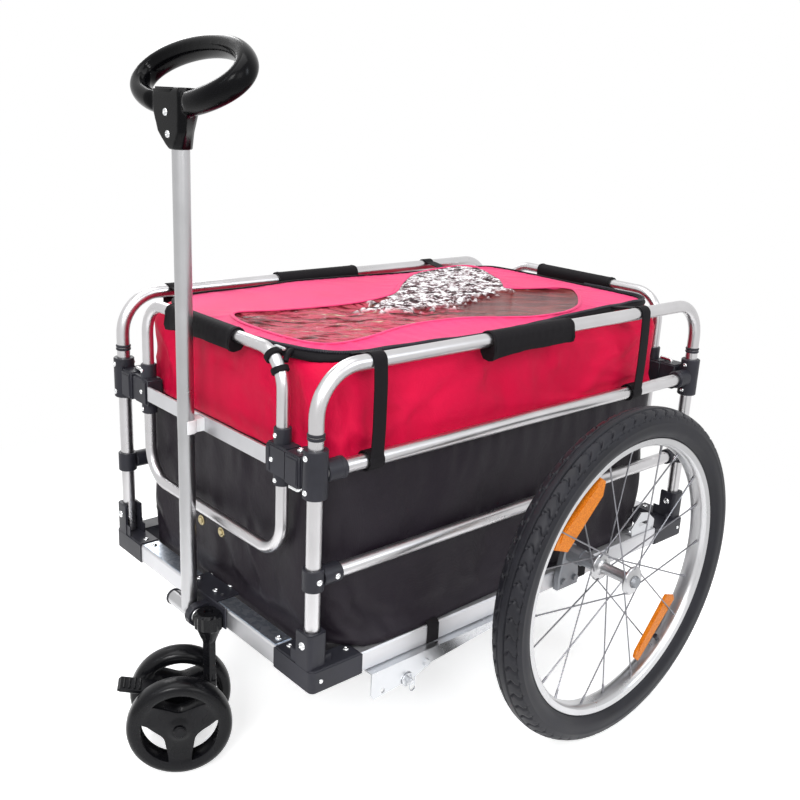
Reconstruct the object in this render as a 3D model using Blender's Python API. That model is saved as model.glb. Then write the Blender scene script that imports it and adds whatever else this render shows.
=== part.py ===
"""Bike cargo trailer with a folding pull handle, a swivelling front caster and two road wheels.

Metres, Z up, the ground at z = 0, the front at -Y and the trailer's left side at +X.
"""

import math

import bmesh
import bpy
from mathutils import Matrix, Vector

# The frame's middle lies this far behind the middle of the whole part
FRAME_Y = 0.0659

# Sides of round shapes, by size
WHEEL_SIDES = 32
CASTER_SIDES = 20
ROUND_SIDES = 14
TUBE_SIDES = 10
RING_SIDES = 8
SMALL_SIDES = 6

# Clearances
FIT = 0.0003
RUNNING = 0.0004

# Box rails of the base
RAIL_OUT_X = 0.257
RAIL_OUT_Y = 0.396
RAIL_WIDTH = 0.030
RAIL_LOW = 0.192
RAIL_HEIGHT = 0.028
RAIL_BEVEL = 0.002

# Corner castings
CORNER_ARM = 0.080
CORNER_SKIN = 0.0015
CORNER_UNDER = 0.002
SOCKET_DEEP = 0.046
SOCKET_WALL = 0.0040
SCREW_HEAD = 0.0042
SCREW_RISE = 0.0016
BOLT_RADIUS = 0.003
BOLT_HEAD = 0.0055
BOLT_RISE = 0.0035
BOLT_DROP = 0.017
CORNER_SCREWS = ((0.048, 0.002), (0.0, 0.054))
CORNER_ROUND = 0.006

# Side hoops
HOOP_X = 0.239
LEG_Y = 0.3834
TUBE = 0.0095
HOOP_TOP = 0.5946
HOOP_BEND = 0.058
LEG_SEAT = 0.0015

# Middle and lower bars of the sides
MID_Z = 0.4715
LOW_Z = 0.337
BAR = 0.0095
TEE_HEIGHT = 0.060
TEE_WALL = 0.0052
TEE_BRANCH = 0.040
TEE_BRANCH_WALL = 0.0040
TEE_SCREW = 0.0035
TEE_SCREW_IN = 0.009
CLAMP_HEIGHT = 0.028
CLAMP_WALL = 0.0036
CLAMP_BRANCH = 0.038

# End rings
RING_Y = 0.380
RING_TUBE = 0.008
RING_X = 0.168
RING_TOP = 0.5977
RING_BOTTOM = 0.3354
RING_BEND = 0.046
JOINER_LOW = 0.434
JOINER_HEIGHT = 0.0736
JOINER_WALL = 0.0026
JOINER_BODY_LOW = 0.448
JOINER_BODY_HEIGHT = 0.040
JOINER_INNER_X = 0.150
JOINER_OUTER_X = 0.1938
JOINER_FRONT = 0.0135
FLAT_BAR_HEIGHT = 0.0215
FLAT_BAR_THICK = 0.004
FLAT_BAR_Z = 0.468

# Lock blocks and pins between the rings and the sides
BLOCK_HEIGHT = 0.041
BLOCK_DEPTH = 0.033
BLOCK_Z = 0.4685
PIN_RADIUS = 0.003
PIN_X = 0.2054
PIN_BELOW = 0.011
PIN_HOOK = 0.0205

# Bag and top cover
BAG_HALF_X = 0.2215
BAG_FRONT = 0.360
BAG_REAR = 0.332
BAG_LOW = 0.200
BAG_TOP = 0.5865
BAG_WALL = 0.004
BAG_CORNER = 0.045
BAG_FOOT_TAPER = 0.016
BAG_HEM_X = 0.246
BAG_HEM_FRONT = 0.300
BAG_HEM_REAR = 0.245
BAG_HEM_THICK = 0.0046
TAB_WIDTH = 0.020
TAB_THICK = 0.0016
TAB_FRONT_Y = 0.300
TAB_REAR_Y = 0.224
COVER_THICK = 0.009
COVER_EDGE = 0.0025
COVER_CROWN = 0.004
COVER_CORNER = 0.045
COVER_LAP = 0.0035

# Carry grips round the top bars
GRIP_LENGTH = 0.165
GRIP_ACROSS = 0.0048
GRIP_TALL = 0.0095
GRIP_MIDDLE_X = -0.012
GRIP_MIDDLE_Y = -0.030

# Pull handle
POLE_Y = 0.4153
POLE = 0.011
CROSS_Z = 0.200
CROSS_LEFT = 0.0255
CROSS_RIGHT = 0.042
NECK_DROP = 0.0857
NECK_HEIGHT = 0.0700
NECK_POLE_DEPTH = 0.041
NECK_BACK = 0.0138
NECK_SCREW = 0.0042
NECK_SCREW_RISES = (0.0180, 0.0430)
HANDLE_Y = 0.3998
HANDLE_Z = 0.9027
HANDLE_HALF_WIDTH = 0.109
HANDLE_HALF_DEPTH = 0.048
HANDLE_TILT = math.radians(46)
HANDLE_ROUND = 0.0118
HANDLE_DEEP = 0.0150
HANDLE_TUCK = 0.0095
HANDLE_STEPS = 20

# Share of the neck's height, half widths of its front and back, its front ahead of the pole's axis, corner
NECK_SECTIONS = (
    (0.0, 0.0135, 0.0128, 0.0138, 0.0080),
    (0.08, 0.0185, 0.0135, 0.0150, 0.0070),
    (0.28, 0.0310, 0.0160, 0.0170, 0.0050),
    (0.62, 0.0370, 0.0225, 0.0195, 0.0038),
    (0.88, 0.0365, 0.0250, 0.0198, 0.0035),
    (1.0, 0.0320, 0.0230, 0.0160, 0.0035),
)

# Handle bracket on the front rail
SADDLE_HALF_X = 0.040
SADDLE_BACK = 0.016
SADDLE_THICK = 0.003
SADDLE_SCREWS_X = (-0.029, 0.016)
SADDLE_SCREWS_IN = (0.013, 0.0375)
JOURNAL_WALL = 0.0045
JOURNAL_LENGTH = 0.012
JOURNAL_GAP = 0.0022

# Clip that holds the pole upright
CLIP_HEIGHT = 0.018
CLIP_WALL = 0.0026
CLIP_ARM = 0.005

# Caster
CASTER_X = 0.047
CASTER_Y = 0.4125
CASTER_TURN = math.radians(-30.33)
CASTER_TRAIL = 0.0403
CASTER_WHEEL = 0.070
CASTER_TREAD = 0.032
CASTER_HALF_TRACK = 0.040
CASTER_RIM = 0.0085
CASTER_HUB = 0.014
CASTER_WEB = 0.016
CASTER_AXLE = 0.005
CASTER_OPENING_TURN = 90
HEAD_RADIUS = 0.020
HEAD_TOP = 0.2155
HEAD_LOW = 0.178
HEAD_RIBS = 14
STEM = 0.0085
STEM_FLUTES = 6
STEM_LOW = 0.100
PIVOT_PIN = 0.006
ARM_HALF = 0.011
PEDAL_HALF = 0.0150
PEDAL_LENGTH = 0.060
PEDAL_THICK = 0.005
PEDAL_RISE = math.radians(9)
PEDAL_PIN = 0.0025
PEDAL_PIN_AHEAD = 0.022
PEDAL_PIN_Z = 0.098

# Road wheels
WHEEL_X = 0.3563
WHEEL_Y = 0.0766
WHEEL_RADIUS = 0.250
TYRE_HALF = 0.0235
TYRE_HEIGHT = 0.0415
RIM_HALF = 0.0160
RIM_DEPTH = 0.013
RIM_WELL = 0.0065
HUB_INNER = 0.323
HUB_OUTER = 0.378
FLANGE_RADIUS = 0.027
FLANGE_THICK = 0.0030
BARREL_RADIUS = 0.0098
SPOKE_RADIUS = 0.0013
SPOKE_COUNT = 20
SPOKE_LEAN = math.radians(62)
SPOKE_STAGGER = 0.0030
AXLE_RADIUS = 0.006
AXLE_NUT = 0.0095
AXLE_NUT_THICK = 0.0055
MOUNT_THICK = 0.012
MOUNT_FOOT = 0.046
MOUNT_BOSS = 0.0155
MOUNT_BOLT_IN = 0.010
MOUNT_BOSS_LONG = 0.034
AXLE_COLLAR = 0.0105

# Tow bracket under the left rail
TOW_FRONT = 0.3085
TOW_INNER_FRONT = 0.272
TOW_REAR = 0.050
TOW_TALL_REAR = 0.2333
TOW_STRIP_FRONT = 0.2033
TOW_PLATE = 0.0025
TOW_INNER_X = 0.2405
TOW_OUTER_X = 0.2680
TOW_DEEP = 0.1528
TOW_DEEP_REAR = 0.1585
TOW_SHALLOW = 0.1700
TOW_SHALLOW_REAR = 0.1840
TOW_PIN_Y = 0.2475
TOW_PIN_Z = 0.1610
TOW_HOLE_Y = 0.2890
TOW_HOLE_Z = 0.1600
TOW_HOLE = 0.0032
TOW_BOLT_Y = 0.2150
TOW_BOLT_Z = 0.1740
HITCH_PIN = 0.004

# Slotted plate on the left rail
SLOT_PLATE_X = 0.2510
SLOT_PLATE_FRONT = 0.252
SLOT_PLATE_REAR = 0.3155
SLOT_PLATE_HEIGHT = 0.038
SLOT_PLATE_THICK = 0.0020
SLOT_PLATE_FLANGE = 0.021
SLOT_PLATE_SCREWS = 0.014
SLOT_HALF = 0.0035
SLOT_LENGTH = 0.024
SLOT_RISE = 0.017

# Derived places
RAIL_TOP = RAIL_LOW + RAIL_HEIGHT
RAIL_IN_X = RAIL_OUT_X - RAIL_WIDTH
RAIL_IN_Y = RAIL_OUT_Y - RAIL_WIDTH
CORNER_TOP = RAIL_TOP + CORNER_UNDER
CORNER_LOW = RAIL_LOW - CORNER_UNDER
SOCKET_TOP = CORNER_TOP + SOCKET_DEEP
BOLT_Z = SOCKET_TOP - BOLT_DROP
JOINER_RADIUS = RING_TUBE + FIT + JOINER_WALL
RING_SPLIT = JOINER_LOW + JOINER_HEIGHT / 2
TEE_RADIUS = TUBE + FIT + TEE_WALL
COVER_LOW = BAG_TOP + FIT
SADDLE_FRONT_Y = RAIL_OUT_Y + FIT
DROP_Y = SADDLE_FRONT_Y + SADDLE_THICK
RIM_RADIUS = WHEEL_RADIUS - TYRE_HEIGHT
SPOKE_END = (RIM_RADIUS - RIM_DEPTH) * math.cos(math.pi / WHEEL_SIDES) - 2 * FIT
ARM_TOP = HEAD_LOW - RUNNING
NECK_LOW = HANDLE_Z - NECK_DROP
POLE_TOP = NECK_LOW + NECK_POLE_DEPTH


def clear_scene():
    for obj in list(bpy.data.objects):
        bpy.data.objects.remove(obj, do_unlink=True)


def make_material(name, colour, roughness, metallic):
    material = bpy.data.materials.new(name)
    material.use_nodes = True
    shader = material.node_tree.nodes["Principled BSDF"]
    shader.inputs["Base Color"].default_value = (*colour, 1.0)
    shader.inputs["Roughness"].default_value = roughness
    shader.inputs["Metallic"].default_value = metallic
    material.diffuse_color = (*colour, 1.0)
    return material


def as_object(bm, name="piece"):
    """Link a closed bmesh to the scene, with its faces turned outwards."""
    bmesh.ops.recalc_face_normals(bm, faces=bm.faces)
    mesh = bpy.data.meshes.new(name)
    bm.to_mesh(mesh)
    bm.free()
    obj = bpy.data.objects.new(name, mesh)
    bpy.context.scene.collection.objects.link(obj)
    return obj


def block(low, high, bevel=0.0, steps=1):
    bm = bmesh.new()
    bmesh.ops.create_cube(bm, size=1.0)
    low = Vector(low)
    high = Vector(high)
    for vert in bm.verts:
        share = vert.co + Vector((0.5, 0.5, 0.5))
        vert.co = low + Vector(a * b for a, b in zip(share, high - low))
    if bevel:
        bmesh.ops.bevel(bm, geom=bm.edges, offset=bevel, segments=steps, affect="EDGES")
    return as_object(bm)


def in_space(pair, along, axis):
    """Turn a point of a section plane into a point in space."""
    u, v = pair
    if axis == "X":
        return Vector((along, u, v))
    if axis == "Y":
        return Vector((u, along, v))
    return Vector((u, v, along))


def prism(outline, axis, start, end, bevel=0.0):
    """Extrude a closed outline along an axis, with its end edges bevelled on request."""
    bm = bmesh.new()
    first = [bm.verts.new(in_space(pair, start, axis)) for pair in outline]
    second = [bm.verts.new(in_space(pair, end, axis)) for pair in outline]
    bm.faces.new(first)
    bm.faces.new(second)
    count = len(outline)
    for i in range(count):
        j = (i + 1) % count
        bm.faces.new((first[i], first[j], second[j], second[i]))
    bmesh.ops.recalc_face_normals(bm, faces=bm.faces)
    if bevel:
        rims = [edge for edge in bm.edges if (edge.verts[0] in first) == (edge.verts[1] in first)]
        bmesh.ops.bevel(bm, geom=rims, offset=bevel, segments=1, affect="EDGES")
    return as_object(bm)


def arc(centre, radius, start, end, steps):
    """Points along an arc of a section plane, angles in degrees."""
    points = []
    for i in range(steps + 1):
        angle = math.radians(start + (end - start) * i / steps)
        points.append((centre[0] + radius * math.cos(angle), centre[1] + radius * math.sin(angle)))
    return points


def rounded_outline(low, high, radius, steps=4):
    """A rectangle with round corners."""
    points = []
    points += arc((high[0] - radius, high[1] - radius), radius, 0, 90, steps)
    points += arc((low[0] + radius, high[1] - radius), radius, 90, 180, steps)
    points += arc((low[0] + radius, low[1] + radius), radius, 180, 270, steps)
    points += arc((high[0] - radius, low[1] + radius), radius, 270, 360, steps)
    return points


def rod(start, end, radius, sides=TUBE_SIDES, end_radius=None):
    """A round bar, or a cone when the end has its own radius."""
    start = Vector(start)
    end = Vector(end)
    bm = bmesh.new()
    bmesh.ops.create_cone(
        bm,
        cap_ends=True,
        segments=sides,
        radius1=radius,
        radius2=radius if end_radius is None else end_radius,
        depth=(end - start).length,
    )
    turn = (end - start).to_track_quat("Z", "Y").to_matrix().to_4x4()
    bmesh.ops.transform(bm, matrix=Matrix.Translation((start + end) / 2) @ turn, verts=bm.verts)
    return as_object(bm)


def bore(start, end, radius, sides=TUBE_SIDES):
    """A cutter whose flats, not its corners, lie at the radius."""
    return rod(start, end, radius / math.cos(math.pi / sides), sides)


def lathe(profile, centre, axis, sides):
    """Turn a closed profile of (radius, distance along) pairs about an axis through a point."""
    bm = bmesh.new()
    rows = []
    for radius, along in profile:
        if radius < 1e-7:
            rows.append([bm.verts.new((0.0, 0.0, along))])
            continue
        row = []
        for i in range(sides):
            angle = 2 * math.pi * i / sides
            row.append(bm.verts.new((radius * math.cos(angle), radius * math.sin(angle), along)))
        rows.append(row)
    for first, second in zip(rows, rows[1:] + rows[:1]):
        if len(first) == 1 and len(second) == 1:
            continue
        for i in range(sides):
            j = (i + 1) % sides
            corners = [first[i % len(first)], first[j % len(first)]]
            corners += [second[j % len(second)], second[i % len(second)]]
            bm.faces.new(dict.fromkeys(corners))
    turn = Vector(axis).to_track_quat("Z", "Y").to_matrix().to_4x4()
    bmesh.ops.transform(bm, matrix=Matrix.Translation(Vector(centre)) @ turn, verts=bm.verts)
    return as_object(bm)


def filleted(points, radius, steps=4):
    """A path whose inner corners are replaced by arcs."""
    path = [Vector(points[0])]
    for before, corner, after in zip(points, points[1:], points[2:]):
        corner = Vector(corner)
        inward = (Vector(before) - corner).normalized()
        outward = (Vector(after) - corner).normalized()
        half = inward.angle(outward) / 2
        reach = radius / math.tan(half)
        centre = corner + (inward + outward).normalized() * (radius / math.sin(half))
        start = corner + inward * reach - centre
        end = corner + outward * reach - centre
        sweep_angle = start.angle(end)
        for i in range(steps + 1):
            share = i / steps
            weight_a = math.sin((1 - share) * sweep_angle) / math.sin(sweep_angle)
            weight_b = math.sin(share * sweep_angle) / math.sin(sweep_angle)
            path.append(centre + start * weight_a + end * weight_b)
    path.append(Vector(points[-1]))
    return path


def sweep(path, radius, sides=TUBE_SIDES):
    """A round tube along an open path, with closed ends."""
    path = [Vector(point) for point in path]
    ways = [(b - a).normalized() for a, b in zip(path, path[1:])]
    across = ways[0].orthogonal().normalized()
    bm = bmesh.new()
    rows = []
    for i, point in enumerate(path):
        if i == 0:
            way = ways[0]
        elif i == len(path) - 1:
            way = ways[-1]
        else:
            way = (ways[i - 1] + ways[i]).normalized()
        across = (across - way * across.dot(way)).normalized()
        other = way.cross(across)
        stretch = 1.0 / max(0.5, way.dot(ways[min(i, len(ways) - 1)]))
        row = []
        for k in range(sides):
            angle = 2 * math.pi * k / sides
            offset = across * math.cos(angle) + other * math.sin(angle)
            row.append(bm.verts.new(point + offset * radius * stretch ** 0.5))
        rows.append(row)
    for first, second in zip(rows, rows[1:]):
        for k in range(sides):
            j = (k + 1) % sides
            bm.faces.new((first[k], first[j], second[j], second[k]))
    bm.faces.new(rows[0])
    bm.faces.new(rows[-1])
    return as_object(bm)


def loft(sections):
    """Skin closed sections that have the same number of points."""
    bm = bmesh.new()
    rows = [[bm.verts.new(point) for point in section] for section in sections]
    count = len(rows[0])
    for first, second in zip(rows, rows[1:]):
        for k in range(count):
            j = (k + 1) % count
            bm.faces.new((first[k], first[j], second[j], second[k]))
    bm.faces.new(rows[0])
    bm.faces.new(rows[-1])
    return as_object(bm)


def ellipse(half_u, half_v, sides, power=2.0):
    """Points of an ellipse, or of a squarer curve for a higher power."""
    points = []
    for i in range(sides):
        angle = 2 * math.pi * (i + 0.5) / sides
        c = math.cos(angle)
        s = math.sin(angle)
        u = math.copysign(abs(c) ** (2 / power), c)
        v = math.copysign(abs(s) ** (2 / power), s)
        points.append((half_u * u, half_v * v))
    return points


def keystone(front_half, back_half, front, back, corner):
    """A four-sided outline, wider at its front than at its back, with cut corners."""
    lean = corner * (front_half - back_half) / (back - front)
    right = [
        (front_half - corner, front),
        (front_half - lean, front + corner),
        (back_half + lean, back - corner),
        (back_half - corner, back),
    ]
    return right + [(-x, y) for x, y in reversed(right)]


def fused(name, pieces, cuts=(), material=None, origin=(0.0, 0.0, 0.0), parent=None):
    """Join overlapping pieces into one body, cut it, and make it a named object."""
    base = pieces[0]
    for operation, others in (("UNION", pieces[1:]), ("DIFFERENCE", cuts)):
        for other in others:
            step = base.modifiers.new(operation.lower(), "BOOLEAN")
            step.solver = "EXACT"
            step.operation = operation
            step.object = other
    bpy.context.view_layer.update()
    graph = bpy.context.evaluated_depsgraph_get()
    mesh = bpy.data.meshes.new_from_object(base.evaluated_get(graph))
    for helper in [*pieces, *cuts]:
        bpy.data.objects.remove(helper, do_unlink=True)
    bm = bmesh.new()
    bm.from_mesh(mesh)
    bmesh.ops.remove_doubles(bm, verts=bm.verts, dist=2e-6)
    bmesh.ops.dissolve_degenerate(bm, dist=2e-6, edges=bm.edges)
    bmesh.ops.translate(bm, vec=-Vector(origin), verts=bm.verts)
    bm.to_mesh(mesh)
    bm.free()
    return finished(name, mesh, material, origin, parent)


def finished(name, mesh, material, origin, parent):
    mesh.name = name
    mesh.materials.clear()
    mesh.materials.append(material)
    mesh.shade_smooth()
    mesh.set_sharp_from_angle(angle=math.radians(32))
    obj = bpy.data.objects.new(name, mesh)
    obj.location = origin
    obj.parent = FRAME if parent is None else parent
    bpy.context.scene.collection.objects.link(obj)
    return obj


def mirrored(source, name, x=1, y=1):
    """A copy of an object on the other side of the frame's middle planes."""
    mesh = source.data.copy()
    mesh.transform(Matrix.Diagonal((x, y, 1, 1)))
    if x * y < 0:
        mesh.flip_normals()
    place = source.location
    origin = (place.x * x, place.y * y, place.z)
    return finished(name, mesh, source.data.materials[0], origin, source.parent)


def rails(aluminium):
    half_front = RAIL_IN_X - FIT
    half_side = RAIL_IN_Y - FIT
    low = (-half_front, -RAIL_OUT_Y, RAIL_LOW)
    high = (half_front, -RAIL_IN_Y, RAIL_TOP)
    front = fused("rail_front", [block(low, high, RAIL_BEVEL)], material=aluminium)
    low = (RAIL_IN_X, -half_side, RAIL_LOW)
    high = (RAIL_OUT_X, half_side, RAIL_TOP)
    left = fused("rail_left", [block(low, high, RAIL_BEVEL)], material=aluminium)
    mirrored(front, "rail_rear", y=-1)
    mirrored(left, "rail_right", x=-1)


def corner_castings(plastic):
    """Hollow sleeves over two rail ends, with a socket that is open inboard for the hoop leg."""
    out_x = RAIL_OUT_X + CORNER_SKIN
    out_y = RAIL_OUT_Y + CORNER_SKIN
    in_x = RAIL_IN_X - CORNER_SKIN
    in_y = RAIL_IN_Y - CORNER_SKIN
    outline = [(out_x - CORNER_ARM, -out_y)]
    outline += arc((out_x - CORNER_ROUND, -out_y + CORNER_ROUND), CORNER_ROUND, 270, 360, 3)
    outline += [(out_x, -out_y + CORNER_ARM), (in_x, -out_y + CORNER_ARM)]
    outline += [(in_x, -in_y), (out_x - CORNER_ARM, -in_y)]
    body = prism(outline, "Z", CORNER_LOW, CORNER_TOP)
    half = TUBE + FIT + SOCKET_WALL
    socket = prism(
        rounded_outline((HOOP_X - half, -LEG_Y - half), (HOOP_X + half, -LEG_Y + half), 0.006, 2),
        "Z",
        CORNER_TOP - 0.005,
        SOCKET_TOP,
        0.001,
    )
    pieces = [body, socket]
    for inward, back in CORNER_SCREWS:
        x = HOOP_X - inward
        y = LEG_Y - back
        low = (x, -y, CORNER_TOP - 0.001)
        high = (x, -y, CORNER_TOP + SCREW_RISE)
        pieces.append(rod(low, high, SCREW_HEAD, SMALL_SIDES))
    for x, y, run in ((out_x, LEG_Y, 1), (HOOP_X + 0.004, out_y, 0)):
        start = Vector((x - 0.001 * run, -y + 0.001 * (1 - run), (CORNER_LOW + CORNER_TOP) / 2))
        side = Vector((run, run - 1, 0)) * (SCREW_RISE + 0.001)
        pieces.append(rod(start, start + side, SCREW_HEAD, SMALL_SIDES))
    bolt_end = -LEG_Y - half - BOLT_RISE
    far_end = -LEG_Y + half + BOLT_RISE
    clear = TUBE + FIT
    wide = with_clearance(RAIL_IN_X, RAIL_OUT_X)
    tall = with_clearance(RAIL_LOW, RAIL_TOP)
    deep = with_clearance(RAIL_IN_Y, RAIL_OUT_Y)
    cuts = [
        block((RAIL_IN_X - 2 * CORNER_ARM, -deep[1], tall[0]), (RAIL_IN_X, -deep[0], tall[1])),
        block((wide[0], -RAIL_IN_Y, tall[0]), (wide[1], -RAIL_IN_Y + 2 * CORNER_ARM, tall[1])),
        bore((HOOP_X, -LEG_Y, CORNER_TOP), (HOOP_X, -LEG_Y, SOCKET_TOP + 0.01), clear),
        block((HOOP_X - 0.03, -LEG_Y - clear, CORNER_TOP), (HOOP_X, -LEG_Y + clear, SOCKET_TOP + 0.01)),
    ]
    shell = fused("corner_shell", pieces, cuts, plastic)
    bolt = rod((HOOP_X, bolt_end, BOLT_Z), (HOOP_X, far_end, BOLT_Z), BOLT_RADIUS, SMALL_SIDES)
    front_face = (HOOP_X, -LEG_Y - half + 0.001, BOLT_Z)
    back_face = (HOOP_X, -LEG_Y + half - 0.001, BOLT_Z)
    front_head = rod((HOOP_X, bolt_end, BOLT_Z), front_face, BOLT_HEAD, SMALL_SIDES)
    back_head = rod(back_face, (HOOP_X, far_end, BOLT_Z), BOLT_HEAD, SMALL_SIDES)
    shell.parent = None
    front_left = fused("corner_front_left", [shell, bolt, front_head, back_head], material=plastic)
    mirrored(front_left, "corner_front_right", x=-1)
    mirrored(front_left, "corner_rear_left", y=-1)
    mirrored(front_left, "corner_rear_right", x=-1, y=-1)


def with_clearance(low, high):
    """A span with the fitting clearance added at both ends."""
    return low - FIT, high + FIT


def side_hoops(aluminium):
    foot = CORNER_TOP + LEG_SEAT
    path = filleted(
        [
            (HOOP_X, -LEG_Y, foot),
            (HOOP_X, -LEG_Y, HOOP_TOP),
            (HOOP_X, LEG_Y, HOOP_TOP),
            (HOOP_X, LEG_Y, foot),
        ],
        HOOP_BEND,
        4,
    )
    hole = BOLT_RADIUS + FIT
    holes = []
    for side in (-1, 1):
        y = side * LEG_Y
        holes.append(bore((HOOP_X, y - 0.02, BOLT_Z), (HOOP_X, y + 0.02, BOLT_Z), hole, SMALL_SIDES))
    left = fused("hoop_left", [sweep(path, TUBE)], holes, aluminium)
    mirrored(left, "hoop_right", x=-1)


def side_tees(plastic):
    """Sleeves on the hoop legs, each with a branch that takes the end of the middle bar."""
    low = MID_Z - TEE_HEIGHT * 0.5
    high = low + TEE_HEIGHT
    branch_end = -LEG_Y + TEE_BRANCH
    branch = BAR + FIT + TEE_BRANCH_WALL
    pieces = [
        rod((HOOP_X, -LEG_Y, low), (HOOP_X, -LEG_Y, high), TEE_RADIUS, ROUND_SIDES),
        rod((HOOP_X, -LEG_Y, MID_Z), (HOOP_X, branch_end, MID_Z), branch, ROUND_SIDES),
    ]
    for z in (low + TEE_SCREW_IN, high - TEE_SCREW_IN):
        reach = TEE_RADIUS + SCREW_RISE
        pieces.append(rod((HOOP_X, -LEG_Y - reach, z), (HOOP_X, -LEG_Y + reach, z), TEE_SCREW, SMALL_SIDES))
    cuts = [
        bore((HOOP_X, -LEG_Y, low - 0.01), (HOOP_X, -LEG_Y, high + 0.01), TUBE + FIT),
        bore((HOOP_X, -LEG_Y, MID_Z), (HOOP_X, branch_end + 0.01, MID_Z), BAR + FIT),
    ]
    front_left = fused("tee_front_left", pieces, cuts, plastic)
    mirrored(front_left, "tee_front_right", x=-1)
    mirrored(front_left, "tee_rear_left", y=-1)
    mirrored(front_left, "tee_rear_right", x=-1, y=-1)


def side_bars(aluminium):
    """The middle bars end inside the tees. The lower bars carry a pressed clamp at each end."""
    end = LEG_Y - TUBE - 0.003
    middle = fused(
        "mid_bar_left",
        [rod((HOOP_X, -end, MID_Z), (HOOP_X, end, MID_Z), BAR)],
        material=aluminium,
    )
    mirrored(middle, "mid_bar_right", x=-1)
    clamp = TUBE + FIT + CLAMP_WALL
    sleeve = BAR + 0.003
    reach = HOOP_X + clamp
    pieces = [rod((HOOP_X, -LEG_Y, LOW_Z), (HOOP_X, LEG_Y, LOW_Z), BAR)]
    cuts = []
    for side in (-1, 1):
        y = side * LEG_Y
        low = LOW_Z - CLAMP_HEIGHT / 2
        high = LOW_Z + CLAMP_HEIGHT / 2
        pieces.append(rod((HOOP_X, y, low), (HOOP_X, y, high), clamp))
        arm_end = side * (LEG_Y - CLAMP_BRANCH)
        pieces.append(rod((HOOP_X, y, LOW_Z), (HOOP_X, arm_end, LOW_Z), sleeve))
        pieces.append(rod((reach - 0.003, y, LOW_Z), (reach + SCREW_RISE, y, LOW_Z), TEE_SCREW, SMALL_SIDES))
        screw = arm_end + side * 0.009
        start = HOOP_X + sleeve - 0.002
        pieces.append(rod((start, screw, LOW_Z), (start + 0.0035, screw, LOW_Z), TEE_SCREW, SMALL_SIDES))
        cuts.append(bore((HOOP_X, y, low - 0.01), (HOOP_X, y, high + 0.01), TUBE + FIT))
    lower = fused("low_bar_left", pieces, cuts, aluminium)
    mirrored(lower, "low_bar_right", x=-1)


def end_rings(aluminium):
    """Each ring is two bent tubes that meet inside the joiners."""
    gap = FIT / 2
    upper_path = [
        (-RING_X, -RING_Y, RING_SPLIT + gap),
        (-RING_X, -RING_Y, RING_TOP),
        (RING_X, -RING_Y, RING_TOP),
        (RING_X, -RING_Y, RING_SPLIT + gap),
    ]
    lower_path = [
        (-RING_X, -RING_Y, RING_SPLIT - gap),
        (-RING_X, -RING_Y, RING_BOTTOM),
        (RING_X, -RING_Y, RING_BOTTOM),
        (RING_X, -RING_Y, RING_SPLIT - gap),
    ]
    upper_tube = sweep(filleted(upper_path, RING_BEND), RING_TUBE, RING_SIDES)
    lower_tube = sweep(filleted(lower_path, RING_BEND), RING_TUBE, RING_SIDES)
    upper = fused("ring_front_upper", [upper_tube], material=aluminium)
    lower = fused("ring_front_lower", [lower_tube], material=aluminium)
    mirrored(upper, "ring_rear_upper", y=-1)
    mirrored(lower, "ring_rear_lower", y=-1)
    half = JOINER_INNER_X - FIT
    front = -RING_Y - JOINER_FRONT + 0.0008
    low = (-half, front, FLAT_BAR_Z - FLAT_BAR_HEIGHT / 2)
    high = (half, front + FLAT_BAR_THICK, FLAT_BAR_Z + FLAT_BAR_HEIGHT / 2)
    flat = fused("flat_bar_front", [block(low, high, 0.0006)], material=aluminium)
    mirrored(flat, "flat_bar_rear", y=-1)


def ring_joiners(plastic):
    """Sleeves over the split of each ring, with a body that carries the flat bar and meets the lock."""
    high = JOINER_LOW + JOINER_HEIGHT
    body_high = JOINER_BODY_LOW + JOINER_BODY_HEIGHT
    front = -RING_Y - JOINER_FRONT
    pieces = [
        rod((RING_X, -RING_Y, JOINER_LOW), (RING_X, -RING_Y, high), JOINER_RADIUS),
        block(
            (JOINER_INNER_X, front, JOINER_BODY_LOW),
            (JOINER_OUTER_X, -RING_Y + JOINER_FRONT, body_high),
            0.003,
        ),
    ]
    for z in (JOINER_LOW + 0.007, JOINER_LOW + JOINER_HEIGHT / 2, high - 0.007):
        face = front if JOINER_BODY_LOW < z < body_high else -RING_Y - JOINER_RADIUS
        pieces.append(rod((RING_X, face + 0.002, z), (RING_X, face - 0.0012, z), 0.003, SMALL_SIDES))
    start = (RING_X, -RING_Y, JOINER_LOW - 0.01)
    end = (RING_X, -RING_Y, high + 0.01)
    front_left = fused("joiner_front_left", pieces, [bore(start, end, RING_TUBE + FIT)], plastic)
    mirrored(front_left, "joiner_front_right", x=-1)
    mirrored(front_left, "joiner_rear_left", y=-1)
    mirrored(front_left, "joiner_rear_right", x=-1, y=-1)


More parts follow.
